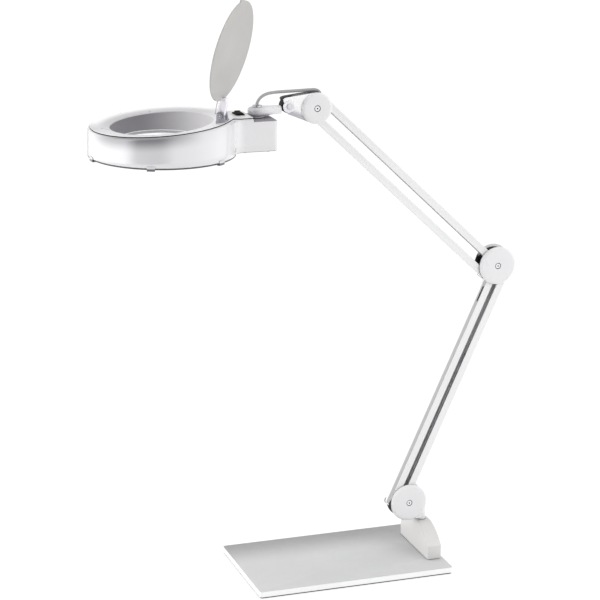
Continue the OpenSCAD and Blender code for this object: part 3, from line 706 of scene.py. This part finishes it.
def fillet(corners):
    """Rounds the corners of a closed profile; each corner is (radius, height, rounding)."""
    steps = 3
    places = [np.array(corner[:2], float) for corner in corners]
    profile = []
    for i, (_, _, rounding) in enumerate(corners):
        corner = places[i]
        if rounding <= 0:
            profile.append(tuple(corner))
            continue
        back, ahead = places[i - 1] - corner, places[(i + 1) % len(places)] - corner
        back_length, ahead_length = np.linalg.norm(back), np.linalg.norm(ahead)
        back, ahead = back / back_length, ahead / ahead_length
        half = math.acos(max(-1, min(1, float(back @ ahead)))) / 2
        trim = min(rounding / math.tan(half), back_length * 0.49, ahead_length * 0.49)
        radius = trim * math.tan(half)
        middle = (back + ahead) / np.linalg.norm(back + ahead)
        centre = corner + middle * (radius / math.sin(half))
        first = math.atan2(*(corner + back * trim - centre)[::-1])
        last = math.atan2(*(corner + ahead * trim - centre)[::-1])
        sweep = (last - first + math.pi) % (2 * math.pi) - math.pi
        for k in range(steps + 1):
            angle = first + sweep * k / steps
            profile.append((centre[0] + radius * math.cos(angle),
                            centre[1] + radius * math.sin(angle)))
    return profile


# --------------------------------------------------------------------------------------
# head housing: ring and neck in one moulding, with a set-in top frame
# --------------------------------------------------------------------------------------
HOUSING_MATERIALS = ("housing", "gap", "funnel", "top", "reflector", "step_shade")
SHELL, GAP, FUNNEL, TOP, CHAMBER, STEP = range(6)

NECK_CENTRE, NECK_HALF_LENGTH, NECK_HALF_WIDTH, NECK_CORNER = 116.5, 56.5, 35.0, 5.0
NECK_BLEND = 15.0  # how far ring and neck melt into each other
NECK_TOP_Z = 759.4
SHOULDER = 7.0  # height of the rounded shoulder
OPENING_RADIUS = 79.8
OPENING_LIP = ((79.8, 0.0), (79.2, -0.12), (78.7, -0.45), (78.45, -1.0), (78.4, -1.6))
FUNNEL_FOOT = (63.9, 729.6)  # radius, z
CHAMBER_RADIUS = 109.4
CHAMBER_DROP = 8.4  # chamber ceiling below the top plane
STEP_X, STEP_Z = -306.5, 753.0  # the neck is lower beyond STEP_X

# x from, x to, half width, z from, z to
HOUSING_CUTS = (
    (HEAD_X + 113, -270.5, 32.5, 700, 750),  # hollow under the neck
    (-325.5, -314.5, 9.7, 744, 775),  # opening in the neck's top
    (STEP_X, -240, 60, STEP_Z, 800),  # step at the neck's end
)


def outline_distance(x, y):
    """Signed distance to the housing's outline, seen from above, from the head's axis."""
    circle = np.hypot(x, y) - HEAD_RADIUS
    over_x = np.abs(x - NECK_CENTRE) - (NECK_HALF_LENGTH - NECK_CORNER)
    over_y = np.abs(y) - (NECK_HALF_WIDTH - NECK_CORNER)
    neck = (np.hypot(np.maximum(over_x, 0), np.maximum(over_y, 0))
            + np.minimum(np.maximum(over_x, over_y), 0) - NECK_CORNER)
    near = np.maximum(NECK_BLEND - np.abs(circle - neck), 0) / NECK_BLEND
    return np.minimum(circle, neck) - near * near * NECK_BLEND * 0.25


def smoothstep(low, high, value):
    t = np.clip((value - low) / (high - low), 0, 1)
    return t * t * (3 - 2 * t)


def top_height(x, y):
    """Tilted top, dished towards the opening and levelled out over the neck."""
    radius = np.hypot(x, y)
    plane = HEAD_TOP_Z + math.tan(HEAD_TILT) * x
    dish = -4.5 * np.clip((108.0 - radius) / 29.7, 0, 1)
    neck = smoothstep(82.0, 117.0, x) * smoothstep(95.0, 110.0, radius)
    return (plane + dish) * (1 - neck) + NECK_TOP_Z * neck


def housing_mesh():
    """Rings of points from the outer foot over the top, down the funnel and through the
    lamp chamber; each ring names the material of the strip that leads up to it."""
    # finer steps towards the neck
    angles = np.radians(np.concatenate([np.arange(-26, 26, 0.25), np.arange(26, 334, 1.25)]))
    cos, sin = np.cos(angles), np.sin(angles)
    rings, strips = [], []

    def inset(distance):
        """Radius of the outline moved inwards, along each angle, by bisection."""
        low, high = np.full(len(angles), 60.0), np.full(len(angles), 190.0)
        for _ in range(48):
            middle = (low + high) / 2
            inside = outline_distance(middle * cos, middle * sin) + distance < 0
            low = np.where(inside, middle, low)
            high = np.where(inside, high, middle)
        return (low + high) / 2

    def top_at(radius):
        return top_height(radius * cos, radius * sin)

    def ring(radius, z, material):
        radius = np.broadcast_to(np.asarray(radius, float), angles.shape)
        z = np.broadcast_to(np.asarray(z, float), angles.shape)
        rings.append(np.stack([HEAD_X + radius * cos, radius * sin, z], 1))
        strips.append(material)

    def top_ring(distance, rise, material):
        radius = inset(distance)
        ring(radius, top_at(radius) + rise, material)

    # foot, with a near-black strip just above it as painted shade; away from the neck the wall
    # flares out a little
    from_neck = np.minimum(np.abs(angles), np.abs(angles - 2 * math.pi))
    flare = 0.8 * smoothstep(math.radians(19), math.radians(30), from_neck)
    for distance, rise, material in ((1.2, 0.0, SHELL), (0.9, 0.12, GAP), (0.75, 0.6, GAP),
                                     (0.2, 0.75, SHELL), (0.0, 1.3, SHELL)):
        ring(inset(distance) + flare, HEAD_FOOT_Z + rise, material)

    # wall and shoulder
    wall = inset(0.0)
    shoulder_z = top_at(wall) - SHOULDER
    for f in (0.25, 0.5, 0.75):
        ring(wall + flare * (1 - f), (HEAD_FOOT_Z + 1.2) * (1 - f) + shoulder_z * f, SHELL)
    for i in range(11):
        turn = math.radians(90 * i / 10)
        top_ring(3.9 * (1 - math.cos(turn)), 5.1 * math.sin(turn) - SHOULDER, SHELL)

    # groove round the top frame, painted near-black as shade, then the frame's outer edge
    for distance, rise, material in ((4.1, -2.5, GAP), (6.6, -3.0, GAP), (6.6, -0.75, GAP),
                                     (3.95, -0.75, GAP), (3.9, -0.4, TOP),
                                     (4.05, -0.12, TOP), (4.5, 0.0, TOP)):
        top_ring(distance, rise, material)

    # top face and the lip of the opening
    frame_edge = inset(4.5)
    for i in range(1, 26):
        radius = frame_edge + (OPENING_RADIUS - frame_edge) * (i / 26)
        ring(radius, top_at(radius), TOP)
    opening_z = top_at(OPENING_RADIUS)
    for radius, rise in OPENING_LIP:
        ring(radius, opening_z + rise, TOP)

    # funnel
    lip_radius, lip_rise = OPENING_LIP[-1]
    foot_radius, foot_z = FUNNEL_FOOT
    for i in range(1, 12):
        f = i / 12
        bulge = 1.6 * math.sin(math.pi * f)
        ring(lip_radius + (foot_radius - lip_radius) * f + bulge,
             (opening_z + lip_rise) * (1 - f) + foot_z * f, FUNNEL)
    ring(foot_radius, foot_z, FUNNEL)

    # lens seat and the chamber's inner wall: radius, z
    for radius, z in ((63.8, 729.0), (63.8, 721.0), (61.3, 721.0), (61.0, 720.7),
                      (61.0, HEAD_FOOT_Z + 0.5), (61.5, HEAD_FOOT_Z), (66.4, HEAD_FOOT_Z),
                      (67.5, 728.0)):
        ring(radius, z, CHAMBER)
    for radius in (84.0, CHAMBER_RADIUS):
        ceiling = HEAD_TOP_Z + math.tan(HEAD_TILT) * radius * cos - CHAMBER_DROP
        ring(radius, ceiling, CHAMBER)
    ring(CHAMBER_RADIUS, HEAD_FOOT_Z, CHAMBER)

    faces = grid_faces(len(rings), len(angles), closed=True)
    index = [material for material in strips[1:] + strips[:1] for _ in angles]
    return np.concatenate(rings), faces, index


def box_cutter(x0, x1, half_width, z0, z1):
    corners = [(x, y, z) for x in (x0, x1) for y in (-half_width, half_width)
               for z in (z0, z1)]
    faces = [(0, 1, 3, 2), (4, 6, 7, 5), (0, 4, 5, 1), (2, 3, 7, 6), (0, 2, 6, 4),
             (1, 5, 7, 3)]
    return make("cut", corners, faces, ["housing"])


def on_step_outline(a, b):
    """Edge along the outer outline of the lowered neck end."""
    return (all(abs(p.z - STEP_Z) < 0.02 for p in (a, b))
            and min(a.x, b.x) > STEP_X + 0.1
            and all(abs(outline_distance(p.x - HEAD_X, p.y)) < 0.1 for p in (a, b)))


def on_step_brow(a, b):
    """Edge along the top of the step's upright wall."""
    return (all(abs(p.x - STEP_X) < 0.02 for p in (a, b))
            and min(a.z, b.z) > 758.0 and max(abs(a.y), abs(b.y)) < 31)


def housing():
    verts, faces, index = housing_mesh()
    obj = make("head_housing_shell", verts, faces, HOUSING_MATERIALS, index=index)
    cut_out(obj, [box_cutter(*cut) for cut in HOUSING_CUTS])

    # round the step's edges and paint its floor dark as the link's shadow
    bm = bmesh.new()
    bm.from_mesh(obj.data)
    bmesh.ops.remove_doubles(bm, verts=bm.verts, dist=2e-6)
    edges = []
    for edge in bm.edges:
        if len(edge.link_faces) != 2 or edge.calc_face_angle(0.0) < math.radians(40):
            continue
        a, b = (vert.co / MM for vert in edge.verts)
        if on_step_outline(a, b) or on_step_brow(a, b):
            edges.append(edge)
    bmesh.ops.bevel(bm, geom=edges, offset=1.1 * MM, offset_type="OFFSET", segments=3,
                    profile=0.5, affect="EDGES", clamp_overlap=True)
    for face in bm.faces:
        centre = face.calc_center_median() / MM
        beyond = centre.x > STEP_X - 0.1 and abs(centre.y) < 36
        if beyond and STEP_Z - 1.4 < centre.z < STEP_Z + 0.1 and face.normal.z > 0.2:
            face.material_index = STEP
    bm.to_mesh(obj.data)
    bm.free()
    shade(obj.data, 34)
    register(obj, "head", ("head_housing",))


housing()


# --------------------------------------------------------------------------------------
# diffuser: clear ring under the lamp, with fine radial ribs and an outer rim painted near-black
# as shade
# --------------------------------------------------------------------------------------
# radius, height from the housing's foot, whether ribbed
DIFFUSER_PROFILE = [
    (64.0, -0.1, False), (64.0, -2.2, False), (64.5, -2.6, False), (67, -2.6, False),
    (68, -2.2, True), (80, -2.2, True), (95, -2.2, True), (107, -2.2, True),
    (108, -2.6, False), (HEAD_RADIUS - 0.8, -2.0, False), (HEAD_RADIUS, -1.7, False),
    (HEAD_RADIUS + 0.3, -1.2, False), (HEAD_RADIUS + 0.3, -0.1, False),
]


def diffuser():
    sides, rib_count, rib_depth = 1440, 360, 0.35
    angles = np.linspace(0, 2 * math.pi, sides, endpoint=False)
    ribs = rib_depth * np.abs(np.sin(angles * (rib_count // 2)))
    rings = []
    for radius, height, ribbed in DIFFUSER_PROFILE:
        z = np.full(sides, HEAD_FOOT_Z + height) - (ribs if ribbed else 0)
        rings.append(np.stack([HEAD_X + radius * np.cos(angles), radius * np.sin(angles), z], 1))
    index = strip_index(DIFFUSER_PROFILE, sides, lambda a, b: a[0] > 110 and b[0] > 110)
    make("diffuser_ring", np.concatenate(rings), grid_faces(len(rings), sides, closed=True),
         ["clear_plastic", "painted_shade_rim"], "head", ("diffuser",),
         index=index, angle=60)


diffuser()


# --------------------------------------------------------------------------------------
# cover caps on both sides of each joint
# --------------------------------------------------------------------------------------
def cap(name, centre, radius, side, body, node):
    sides, height = 144, 4.2
    profile = fillet([
        (2.3, 0.05, 0), (radius, 0.0, 0.2), (radius, 1.75, 0.5), (radius - 0.75, 2.1, 0.15),
        (radius - 2.2, height - 0.5, 0.9), (radius - 3.4, height - 0.32, 0.25),
        (radius - 3.6, height, 0.3), (5.25, height, 0.2), (5.05, height - 0.3, 0.1),
        (5.0, height - 1.2, 0.1), (2.3, height - 1.2, 0),
    ])
    # screw recess painted near-black as shade
    index = strip_index(profile, sides,
                        lambda a, b: max(a[0], b[0]) < 5.12 and min(a[1], b[1]) > 1)
    verts, faces = lathe(profile, centre, CAP_BACK, side, sides)
    make(name, verts, faces, ["white_plastic", "gap"], body, (node,),
         index=index, angle=32)


for joint, pivot, cap_radius, body in JOINTS:
    for side_name, side in SIDES:
        node = f"{joint}_cap_{side_name}"
        cap(node + "_cover", pivot, cap_radius, side, body, node)


# --------------------------------------------------------------------------------------
# arm bars
# --------------------------------------------------------------------------------------
def bar_pick(bar, edge=False):
    """Material 1 inside the channel, in painted shade; with edge, 2 on the bar's upper-left
    face, in painted shade.
    """
    (x0, z0), (x1, z1) = bar
    along = Vector((x1 - x0, 0, z1 - z0))
    length = along.length
    along.normalize()
    across = Vector((-along.z, 0, along.x))

    def pick(centre, normal):
        place = Vector((centre[0] - x0, 0, centre[2] - z0))
        reach, offset = place.dot(along), place.dot(across)
        if abs(centre[1]) < 7.3 and abs(offset) < 5.2 and 13 < reach < length - 13:
            return 1
        return 2 if edge and Vector(normal).dot(across) > 0.7 and offset > 5.5 else 0

    return pick


for node, bar, body in (("lower_main_bar", LOWER_MAIN, "lower_arm"),
                        ("lower_guide_bar", LOWER_GUIDE, "lower_guide"),
                        ("upper_main_bar", UPPER_MAIN, "upper_arm"),
                        ("upper_guide_bar", UPPER_GUIDE, "upper_guide")):
    refine(node, body, "white_paint", ("white_paint", "channel", "bar_edge"), width=0.9,
           segments=3, hard_angle=60, pick=bar_pick(bar, edge=node == "lower_guide_bar"))


def bar_axes(bar):
    """Start point, direction, in-plane normal and length of a bar."""
    (x0, z0), (x1, z1) = bar
    along = np.array([x1 - x0, 0, z1 - z0], float)
    length = float(np.linalg.norm(along))
    along /= length
    return np.array([x0, 0, z0], float), along, np.array([-along[2], 0, along[0]]), length


def bar_slot():
    """Short slot with a rolled lip in the outer face of the lower guide bar, near the top; its
    lip and mouth are painted near-black as shade.
    """
    sides, half_straight, end_radius = 40, 11.5, 2.3
    from_end, slot_y, bar_face = 36.0, -5.4, 6.0
    # change of end radius, height above the bar's face
    lip = ((0.0, -0.25), (0.0, 0.22), (-0.35, 0.34), (-0.8, 0.3), (-0.95, 0.12))
    origin, along, normal, length = bar_axes(LOWER_GUIDE)
    verts = []
    for change, lift in lip:
        radius = end_radius + change
        for k in range(sides):
            angle = 2 * math.pi * k / sides
            straight = half_straight if math.cos(angle) >= 0 else -half_straight
            verts.append(origin + along * (length - from_end + straight
                                           + radius * math.cos(angle))
                         + np.array([0, slot_y + radius * math.sin(angle), 0])
                         + normal * (bar_face + lift))
    faces = grid_faces(len(lip), sides)
    index = [0] * len(faces) + [1, 0]
    back, mouth = end_caps(len(lip), sides)
    make("lower_guide_slot", verts, faces + [mouth, back], ["painted_shade_rim", "gap"],
         "lower_guide", index=index)


bar_slot()


# --------------------------------------------------------------------------------------
# tension springs in the main bars
# --------------------------------------------------------------------------------------
COIL_RADIUS, WIRE_RADIUS, COIL_PITCH = 4.15, 0.62, 1.55
EYE_RADIUS = 2.6
EYE_REACH = 14.0  # from the coil's end to the eye's centre
ROD_RADIUS, ROD_HALF_LENGTH = 1.5, 7.0


def spring(name, bar, start, end, body, node):
    """Coil between two distances along a bar, hooked at each end round a cross rod."""
    origin, along, normal, _ = bar_axes(bar)
    sideways = np.array([0, 1.0, 0])
    turns = (end - start) / COIL_PITCH
    fractions = np.linspace(0, 1, int(turns * 18))
    angles = fractions * turns * 2 * math.pi

    def around(reach, radius, angle):
        spoke = math.cos(angle) * normal + math.sin(angle) * sideways
        return origin + along * reach + radius * spoke

    def hook(reach, way, angle):
        """The wire runs in to the axis and closes in an eye round the rod."""
        points = [around(reach + way * 3.0 * k, COIL_RADIUS * (1 - k), angle)
                  for k in np.linspace(0, 1, 8)[1:]]
        points += [origin + along * (reach + way * (3.0 + 8.0 * k))
                   for k in np.linspace(0, 1, 5)[1:]]
        centre = origin + along * (reach + way * EYE_REACH)
        for k in np.linspace(0.0, 1.8 * math.pi, 22)[1:]:
            points.append(centre - way * along * EYE_RADIUS * math.cos(k)
                          + way * normal * EYE_RADIUS * math.sin(k))
        return points

    helix = [around(start + (end - start) * f, COIL_RADIUS, angle)
             for f, angle in zip(fractions, angles)]
    path = hook(start, -1, angles[0])[::-1] + helix + hook(end, 1, angles[-1])
    parts = [tube(path, WIRE_RADIUS, 7)]
    for reach in (start - EYE_REACH, end + EYE_REACH):
        rod = [origin + along * reach + sideways * y
               for y in np.linspace(-ROD_HALF_LENGTH, ROD_HALF_LENGTH, 6)]
        parts.append(tube(rod, ROD_RADIUS, 18))
    verts, faces = joined(parts)
    make(name, verts, faces, ["spring_steel"], body, (node,), angle=50)


spring("lower_tension_spring", LOWER_MAIN, 44, 250, "lower_arm", "lower_spring")
spring("upper_tension_spring", UPPER_MAIN, 44, 230, "upper_arm", "upper_spring")


# --------------------------------------------------------------------------------------
# cable from the head link over the hood into the wrist
# --------------------------------------------------------------------------------------
# x, z of the cable's control points, from the link to the wrist
CABLE_POINTS = (
    (-291, 768.5), (-290.8, 771.5), (-289.4, 776.6), (-285.8, 782.0), (-280.2, 786.2),
    (-272.5, 789.0), (-262.0, 790.2), (-249, 790.7), (-236, 790.8), (-220, 791.0),
    (-206, 791.3), (-198, 791.2), (-192.5, 789.8), (-189.3, 787.2), (-188.3, 785.6),
)


def head_cable():
    path = smooth_path([(x, 0, z) for x, z in CABLE_POINTS], steps=10)
    verts, faces = tube(path, radius=2.4, sides=28)
    cable = make("head_power_cable", verts, faces, ["cable_pvc"],
                 replaced=("head_cable",), angle=60)
    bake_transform(cable)


head_cable()


# --------------------------------------------------------------------------------------
# foot, swivel, cheeks and wrist hood
# --------------------------------------------------------------------------------------
def plate_pick(centre, normal):
    """The plate's rim gets the lighter, lit copy of the plate's paint, as painted light."""
    return abs(normal[2]) < 0.6


def hood_pick(centre, normal):
    """The faces between the hood's two cheeks lie in shadow."""
    inward = normal[1] * centre[1] < 0 and abs(normal[1]) > 0.9
    return abs(centre[1]) < 8.7 or inward


refine("base_plate", "base", "white_paint", ("plate_paint", "plate_edge"), width=0.9,
       segments=3, pick=plate_pick)
refine("base_pad", "base", "black_rubber", width=0.4)
refine("foot_gasket", "base", "black_rubber", width=0.15)
refine("foot_block", "base", "warm_white_paint", width=1.2, segments=3, hard_angle=40)
refine("base_bracket", "swivel", "white_paint", width=0.4)
refine("swivel_collar", "swivel", "white_plastic", width=0.25)
# cheek plates in near-black painted shade
refine("base_cheeks", "swivel", "black_steel", width=0.25)
refine("elbow_cheeks", "elbow", "black_steel", width=0.25)
refine("wrist_hood", "wrist", "white_plastic", ("hood_plastic", "hood_shade"), width=0.35,
       pick=hood_pick)


def hood_boss(side_name, side):
    """Moulded boss round the tilt pin's head."""
    sides, back = 72, 10.1
    profile = fillet([(3.9, 0.02, 0), (9.6, 0.02, 0), (9.2, 0.75, 0.35), (6.6, 0.95, 0.3),
                      (6.2, 0.62, 0.15), (3.9, 0.55, 0.1)])
    # painted shade: the boss's rim and inner step take the darker lilac-white plastic
    index = strip_index(profile, sides, lambda a, b: a[0] > 8.0 or 6.0 < a[0] < 6.7)
    verts, faces = lathe(profile, TILT_PIVOT, back, side, sides)
    make("hood_boss_" + side_name, verts, faces, ["hood_plastic", "lid_arm"], "wrist",
         index=index, angle=32)


for side_name, side in SIDES:
    hood_boss(side_name, side)


# --------------------------------------------------------------------------------------
# socket-head screws of the caps: white head, hexagon socket painted near-black as shade, slim
# shank
# --------------------------------------------------------------------------------------
def cap_screw_pair(joint, centre, body):
    sides = 72
    angles = 2 * math.pi * np.arange(sides) / sides
    sixth = math.pi / 6
    hexagon = math.cos(sixth) / np.cos((angles + sixth) % (2 * sixth) - sixth)
    # radius, distance from the middle plane, material of the strip that follows
    rings = [(1.25, 8.75, 0), (1.25, 11.8, 0), (3.95, 11.78, 0), (4.1, 11.9, 0),
             (4.1, 13.85, 0), (3.8, 14.15, 0), (1.7, 14.18, 0),
             (1.35 * hexagon, 14.1, 1), (1.3 * hexagon, 13.0, 1)]
    faces = grid_faces(len(rings), sides) + end_caps(len(rings), sides)
    index = [material for _, _, material in rings[:-1] for _ in range(sides)] + [0, 1]
    parts = []
    for _, side in SIDES:
        verts = []
        for radius, distance, _ in rings:
            x = centre[0] + radius * np.cos(angles)
            z = centre[1] + radius * np.sin(angles)
            verts += list(np.stack([x, np.full(sides, side * distance), z], 1))
        parts.append((verts, faces))
    verts, faces = joined(parts)
    make(joint + "_cap_screw_pair", verts, faces, ["white_edge", "gap"], body,
         (joint + "_cap_screws",), index=index * 2, angle=35)


for joint, pivot, _, body in JOINTS:
    cap_screw_pair(joint, pivot, body)


# --------------------------------------------------------------------------------------
# tilt joint and head link
# --------------------------------------------------------------------------------------
refine("tilt_pin", "wrist", "steel", width=0.3)
refine("tilt_knuckle", "link", "black_plastic", width=0.6)

LINK_HALF_WIDTH, LINK_HALF_HEIGHT, LINK_Z = 14.5, 6.9, 762.9
LINK_FLATS = (756.0, 769.8)  # the body is flattened below and above these heights
LINK_LENGTH = 37.1  # from the pan bolt to the knuckle's end
LINK_BORE = 5.05


def link_stations():
    """x, half width, half height and middle height along the link."""
    stations = []
    for i in range(15):
        turn = math.radians(88.5 - 88.5 * i / 14)
        size = max(math.cos(turn), 0.02)
        stations.append((PAN_X - LINK_HALF_WIDTH * math.sin(turn),
                         LINK_HALF_WIDTH * size ** 0.92, LINK_HALF_HEIGHT * size ** 0.42,
                         LINK_Z))
    for i in range(1, 15):
        u = i / 14
        length = 40 if i == 1 else LINK_LENGTH  # the first step is slightly longer
        stations.append((PAN_X + length * u,
                         LINK_HALF_WIDTH - 6.4 * (u * u * (3 - 2 * u)) ** 0.9,
                         LINK_HALF_HEIGHT - 0.5 * u, LINK_Z + 0.5 * u))
    return stations


def bore_cutter():
    sides = 48
    turns = [2 * math.pi * i / sides for i in range(sides)]
    verts = [(PAN_X + LINK_BORE * math.cos(turn), LINK_BORE * math.sin(turn), z)
             for z in (740, 790) for turn in turns]
    ends = [tuple(range(sides)), tuple(range(2 * sides - 1, sides - 1, -1))]
    return make("cut", verts, grid_faces(2, sides) + ends, ["gap"])


def link_body():
    """Pillow-shaped link: round end over the pan bolt, narrowing to the black knuckle."""
    sides, roundness = 56, 2 / 2.9  # exponent of the superellipse section
    stations = link_stations()
    low, high = LINK_FLATS
    verts = []
    for x, half_width, half_height, middle in stations:
        for j in range(sides):
            angle = 2 * math.pi * j / sides
            cos, sin = math.cos(angle), math.sin(angle)
            y = half_width * math.copysign(abs(cos) ** roundness, cos)
            z = middle + half_height * math.copysign(abs(sin) ** roundness, sin)
            verts.append((x, y, min(high, max(low, z))))
    faces = grid_faces(len(stations), sides) + end_caps(len(stations), sides)
    obj = make("head_link_body", verts, faces, ["grey_paint", "gap"])
    # the bore's walls take the near-black gap material as painted shade
    cut_out(obj, [bore_cutter()])
    shade(obj.data, 42)
    register(obj, "link", ("head_link",))


link_body()


# --------------------------------------------------------------------------------------
# small parts of the head
# --------------------------------------------------------------------------------------
LID_HINGE = Vector((-365.046, -61.390, 772.772))
LID_ARM_REACH = 26.5


def lid_pick(centre, normal):
    """The lid's arm is the part near the hinge."""
    return (centre - LID_HINGE).length < LID_ARM_REACH


refine("pan_washer", "head", "black_plastic", ("washer",), width=0.4)
refine("switch_bezel", "head", "black_plastic", width=0.35)
refine("switch_rocker", "switch", "black_plastic", width=0.5)
refine("lid_bracket", "head", "lilac_plastic", width=0.6)
refine("lens_lid", "lid", "lid_plastic", ("lid_plastic", "lid_arm"), width=0.3, pick=lid_pick)
refine("neck_cover", "head", "white_plastic", width=0.3)
refine("diffuser_clips", "head", "clear_plastic", ("clip",), width=0.2)

# CAD solids kept as they are, with their material
KEPT_SOLIDS = (
    ("foot_screws", "steel"), ("swivel_bush", "grey_plastic"), ("swivel_pin", "steel"),
    ("bracket_rivets", "steel"), ("base_pivot_pins", "steel"), ("elbow_pivot_pins", "steel"),
    ("wrist_pivot_pins", "steel"), ("pan_tube", "steel"), ("pan_nut", "steel"),
    ("neck_screws", "steel"), ("lens", "lens_glass"), ("lens_ring", "ring_grey"),
    ("ring_lamp", "lamp_glass"), ("lamp_clips", "spring_steel"),
    ("lamp_socket", "white_plastic"), ("ballast", "black_plastic"),
    ("lid_hinge_pin", "steel"), ("lid_spring", "spring_steel"),
)
for node, key in KEPT_SOLIDS:
    solid = NODES[node]
    if not solid.material_slots:
        solid.data.materials.append(M[key])
    for material_slot in solid.material_slots:
        material_slot.material = M[key]


# --------------------------------------------------------------------------------------
# stage: pale glowing floor, studio world, softboxes, camera
# --------------------------------------------------------------------------------------
def floor_material():
    t = material_nodes("pale_floor")
    mottle = t.noise(scale=1.5, span=(0.3, 0.7))
    colour = t.mix(mottle, (0.93, 0.93, 0.93), (0.95, 0.95, 0.95))
    diffuse = t.first("ShaderNodeBsdfDiffuse", {"Color": colour})
    glow = t.first("ShaderNodeEmission", {"Color": (1, 1, 1), "Strength": 1.12})
    return t.finish(t.mix_shader(0.62, diffuse, glow))


def floor():
    """Disc just below z = 0, a fan round the world's origin."""
    sides, radius, centre_x, level = 96, 2300, -150, -0.6
    verts = [(0, 0, level)]
    for i in range(sides):
        angle = 2 * math.pi * i / sides
        verts.append((centre_x + radius * math.cos(angle), radius * math.sin(angle), level))
    faces = [(0, 1 + i, 1 + (i + 1) % sides) for i in range(sides)]
    M["floor"] = floor_material()
    make("floor", verts, faces, ["floor"])


floor()

# azimuth in degrees, 0 towards -Y and growing towards +X; half the light strength there
HORIZON_LIGHT = (
    (-180, 0.40), (-130, 1.0), (-78, 1.18), (-50, 0.06), (-22, 0.04), (10, 0.64),
    (80, 0.74), (130, 0.36), (180, 0.36),
)
OVERHEAD_LIGHT = 0.82
BACKDROP = 1.05  # what the camera sees directly


def world():
    studio = bpy.data.worlds.new("studio")
    SCENE.world = studio
    t = Nodes(studio, output="ShaderNodeOutputWorld", coords="Generated")
    direction = t.separate(t.position)
    azimuth = t.math("ARCTAN2", direction["X"], t.math("MULTIPLY", direction["Y"], -1.0))
    turn = t.math("ADD", t.math("DIVIDE", azimuth, 2 * math.pi), 0.5)
    ramp = t.add("ShaderNodeValToRGB", {0: turn})
    ramp.color_ramp.interpolation = "EASE"
    elements = ramp.color_ramp.elements
    while len(elements) < len(HORIZON_LIGHT):
        elements.new(0.5)
    for element, (degrees, strength) in zip(elements, HORIZON_LIGHT):
        element.position = degrees / 360 + 0.5
        element.color = (strength, strength, strength, 1)
    horizon = t.math("MULTIPLY", ramp.outputs[0], 2.0)
    # the overhead light takes over between about 27 and 58 degrees of height
    upward = t.remap(direction["Z"], span=(0.45, 0.85), smooth=True)
    light = t.mix_float(upward, horizon, OVERHEAD_LIGHT)
    seen = t.add("ShaderNodeLightPath").outputs["Is Camera Ray"]
    strength = t.mix_float(seen, light, BACKDROP)
    t.finish(t.first("ShaderNodeBackground", {"Strength": strength, "Color": (1, 1, 1)}))


world()


def softbox(name, location, target, width, height, power):
    light = bpy.data.lights.new(name, "AREA")
    light.shape = "RECTANGLE"
    light.size, light.size_y = width, height
    light.energy = power
    obj = bpy.data.objects.new(name, light)
    SCENE.collection.objects.link(obj)
    obj.location = location
    aim = Vector(target) - Vector(location)
    obj.rotation_euler = aim.to_track_quat("-Z", "Y").to_euler()
    obj.visible_glossy = False


softbox("key_softbox", location=(1.7, -2.4, 1.7), target=(-0.1, 0, 0.5), width=1.3,
        height=1.8, power=19)
softbox("left_softbox", location=(-2.7, 0.1, 1.1), target=(-0.2, 0, 0.5), width=1.2,
        height=1.6, power=10)
softbox("top_softbox", location=(-0.4, 0.2, 2.5), target=(-0.2, 0, 0.4), width=1.6,
        height=1.6, power=7)

SCENE.view_settings.view_transform = "Standard"
SCENE.view_settings.look = "None"


def camera():
    azimuth, elevation, roll = (math.radians(d) for d in (-19.417, 16.085, 0.652))
    back = Vector((math.sin(azimuth) * math.cos(elevation),
                   -math.cos(azimuth) * math.cos(elevation), math.sin(elevation)))
    level = Vector((math.cos(azimuth), math.sin(azimuth), 0))
    upright = back.cross(level)
    right = math.cos(roll) * level + math.sin(roll) * upright
    up = -math.sin(roll) * level + math.cos(roll) * upright
    data = bpy.data.cameras.new("camera")
    data.sensor_width = 36.0
    data.lens = 128.634
    data.clip_start, data.clip_end = 0.05, 60
    obj = bpy.data.objects.new("camera", data)
    SCENE.collection.objects.link(obj)
    pose = Matrix((right, up, back)).transposed().to_4x4()
    pose.translation = Vector((-1.2975, -3.0653, 1.3933))
    obj.matrix_world = pose
    SCENE.camera = obj


camera()
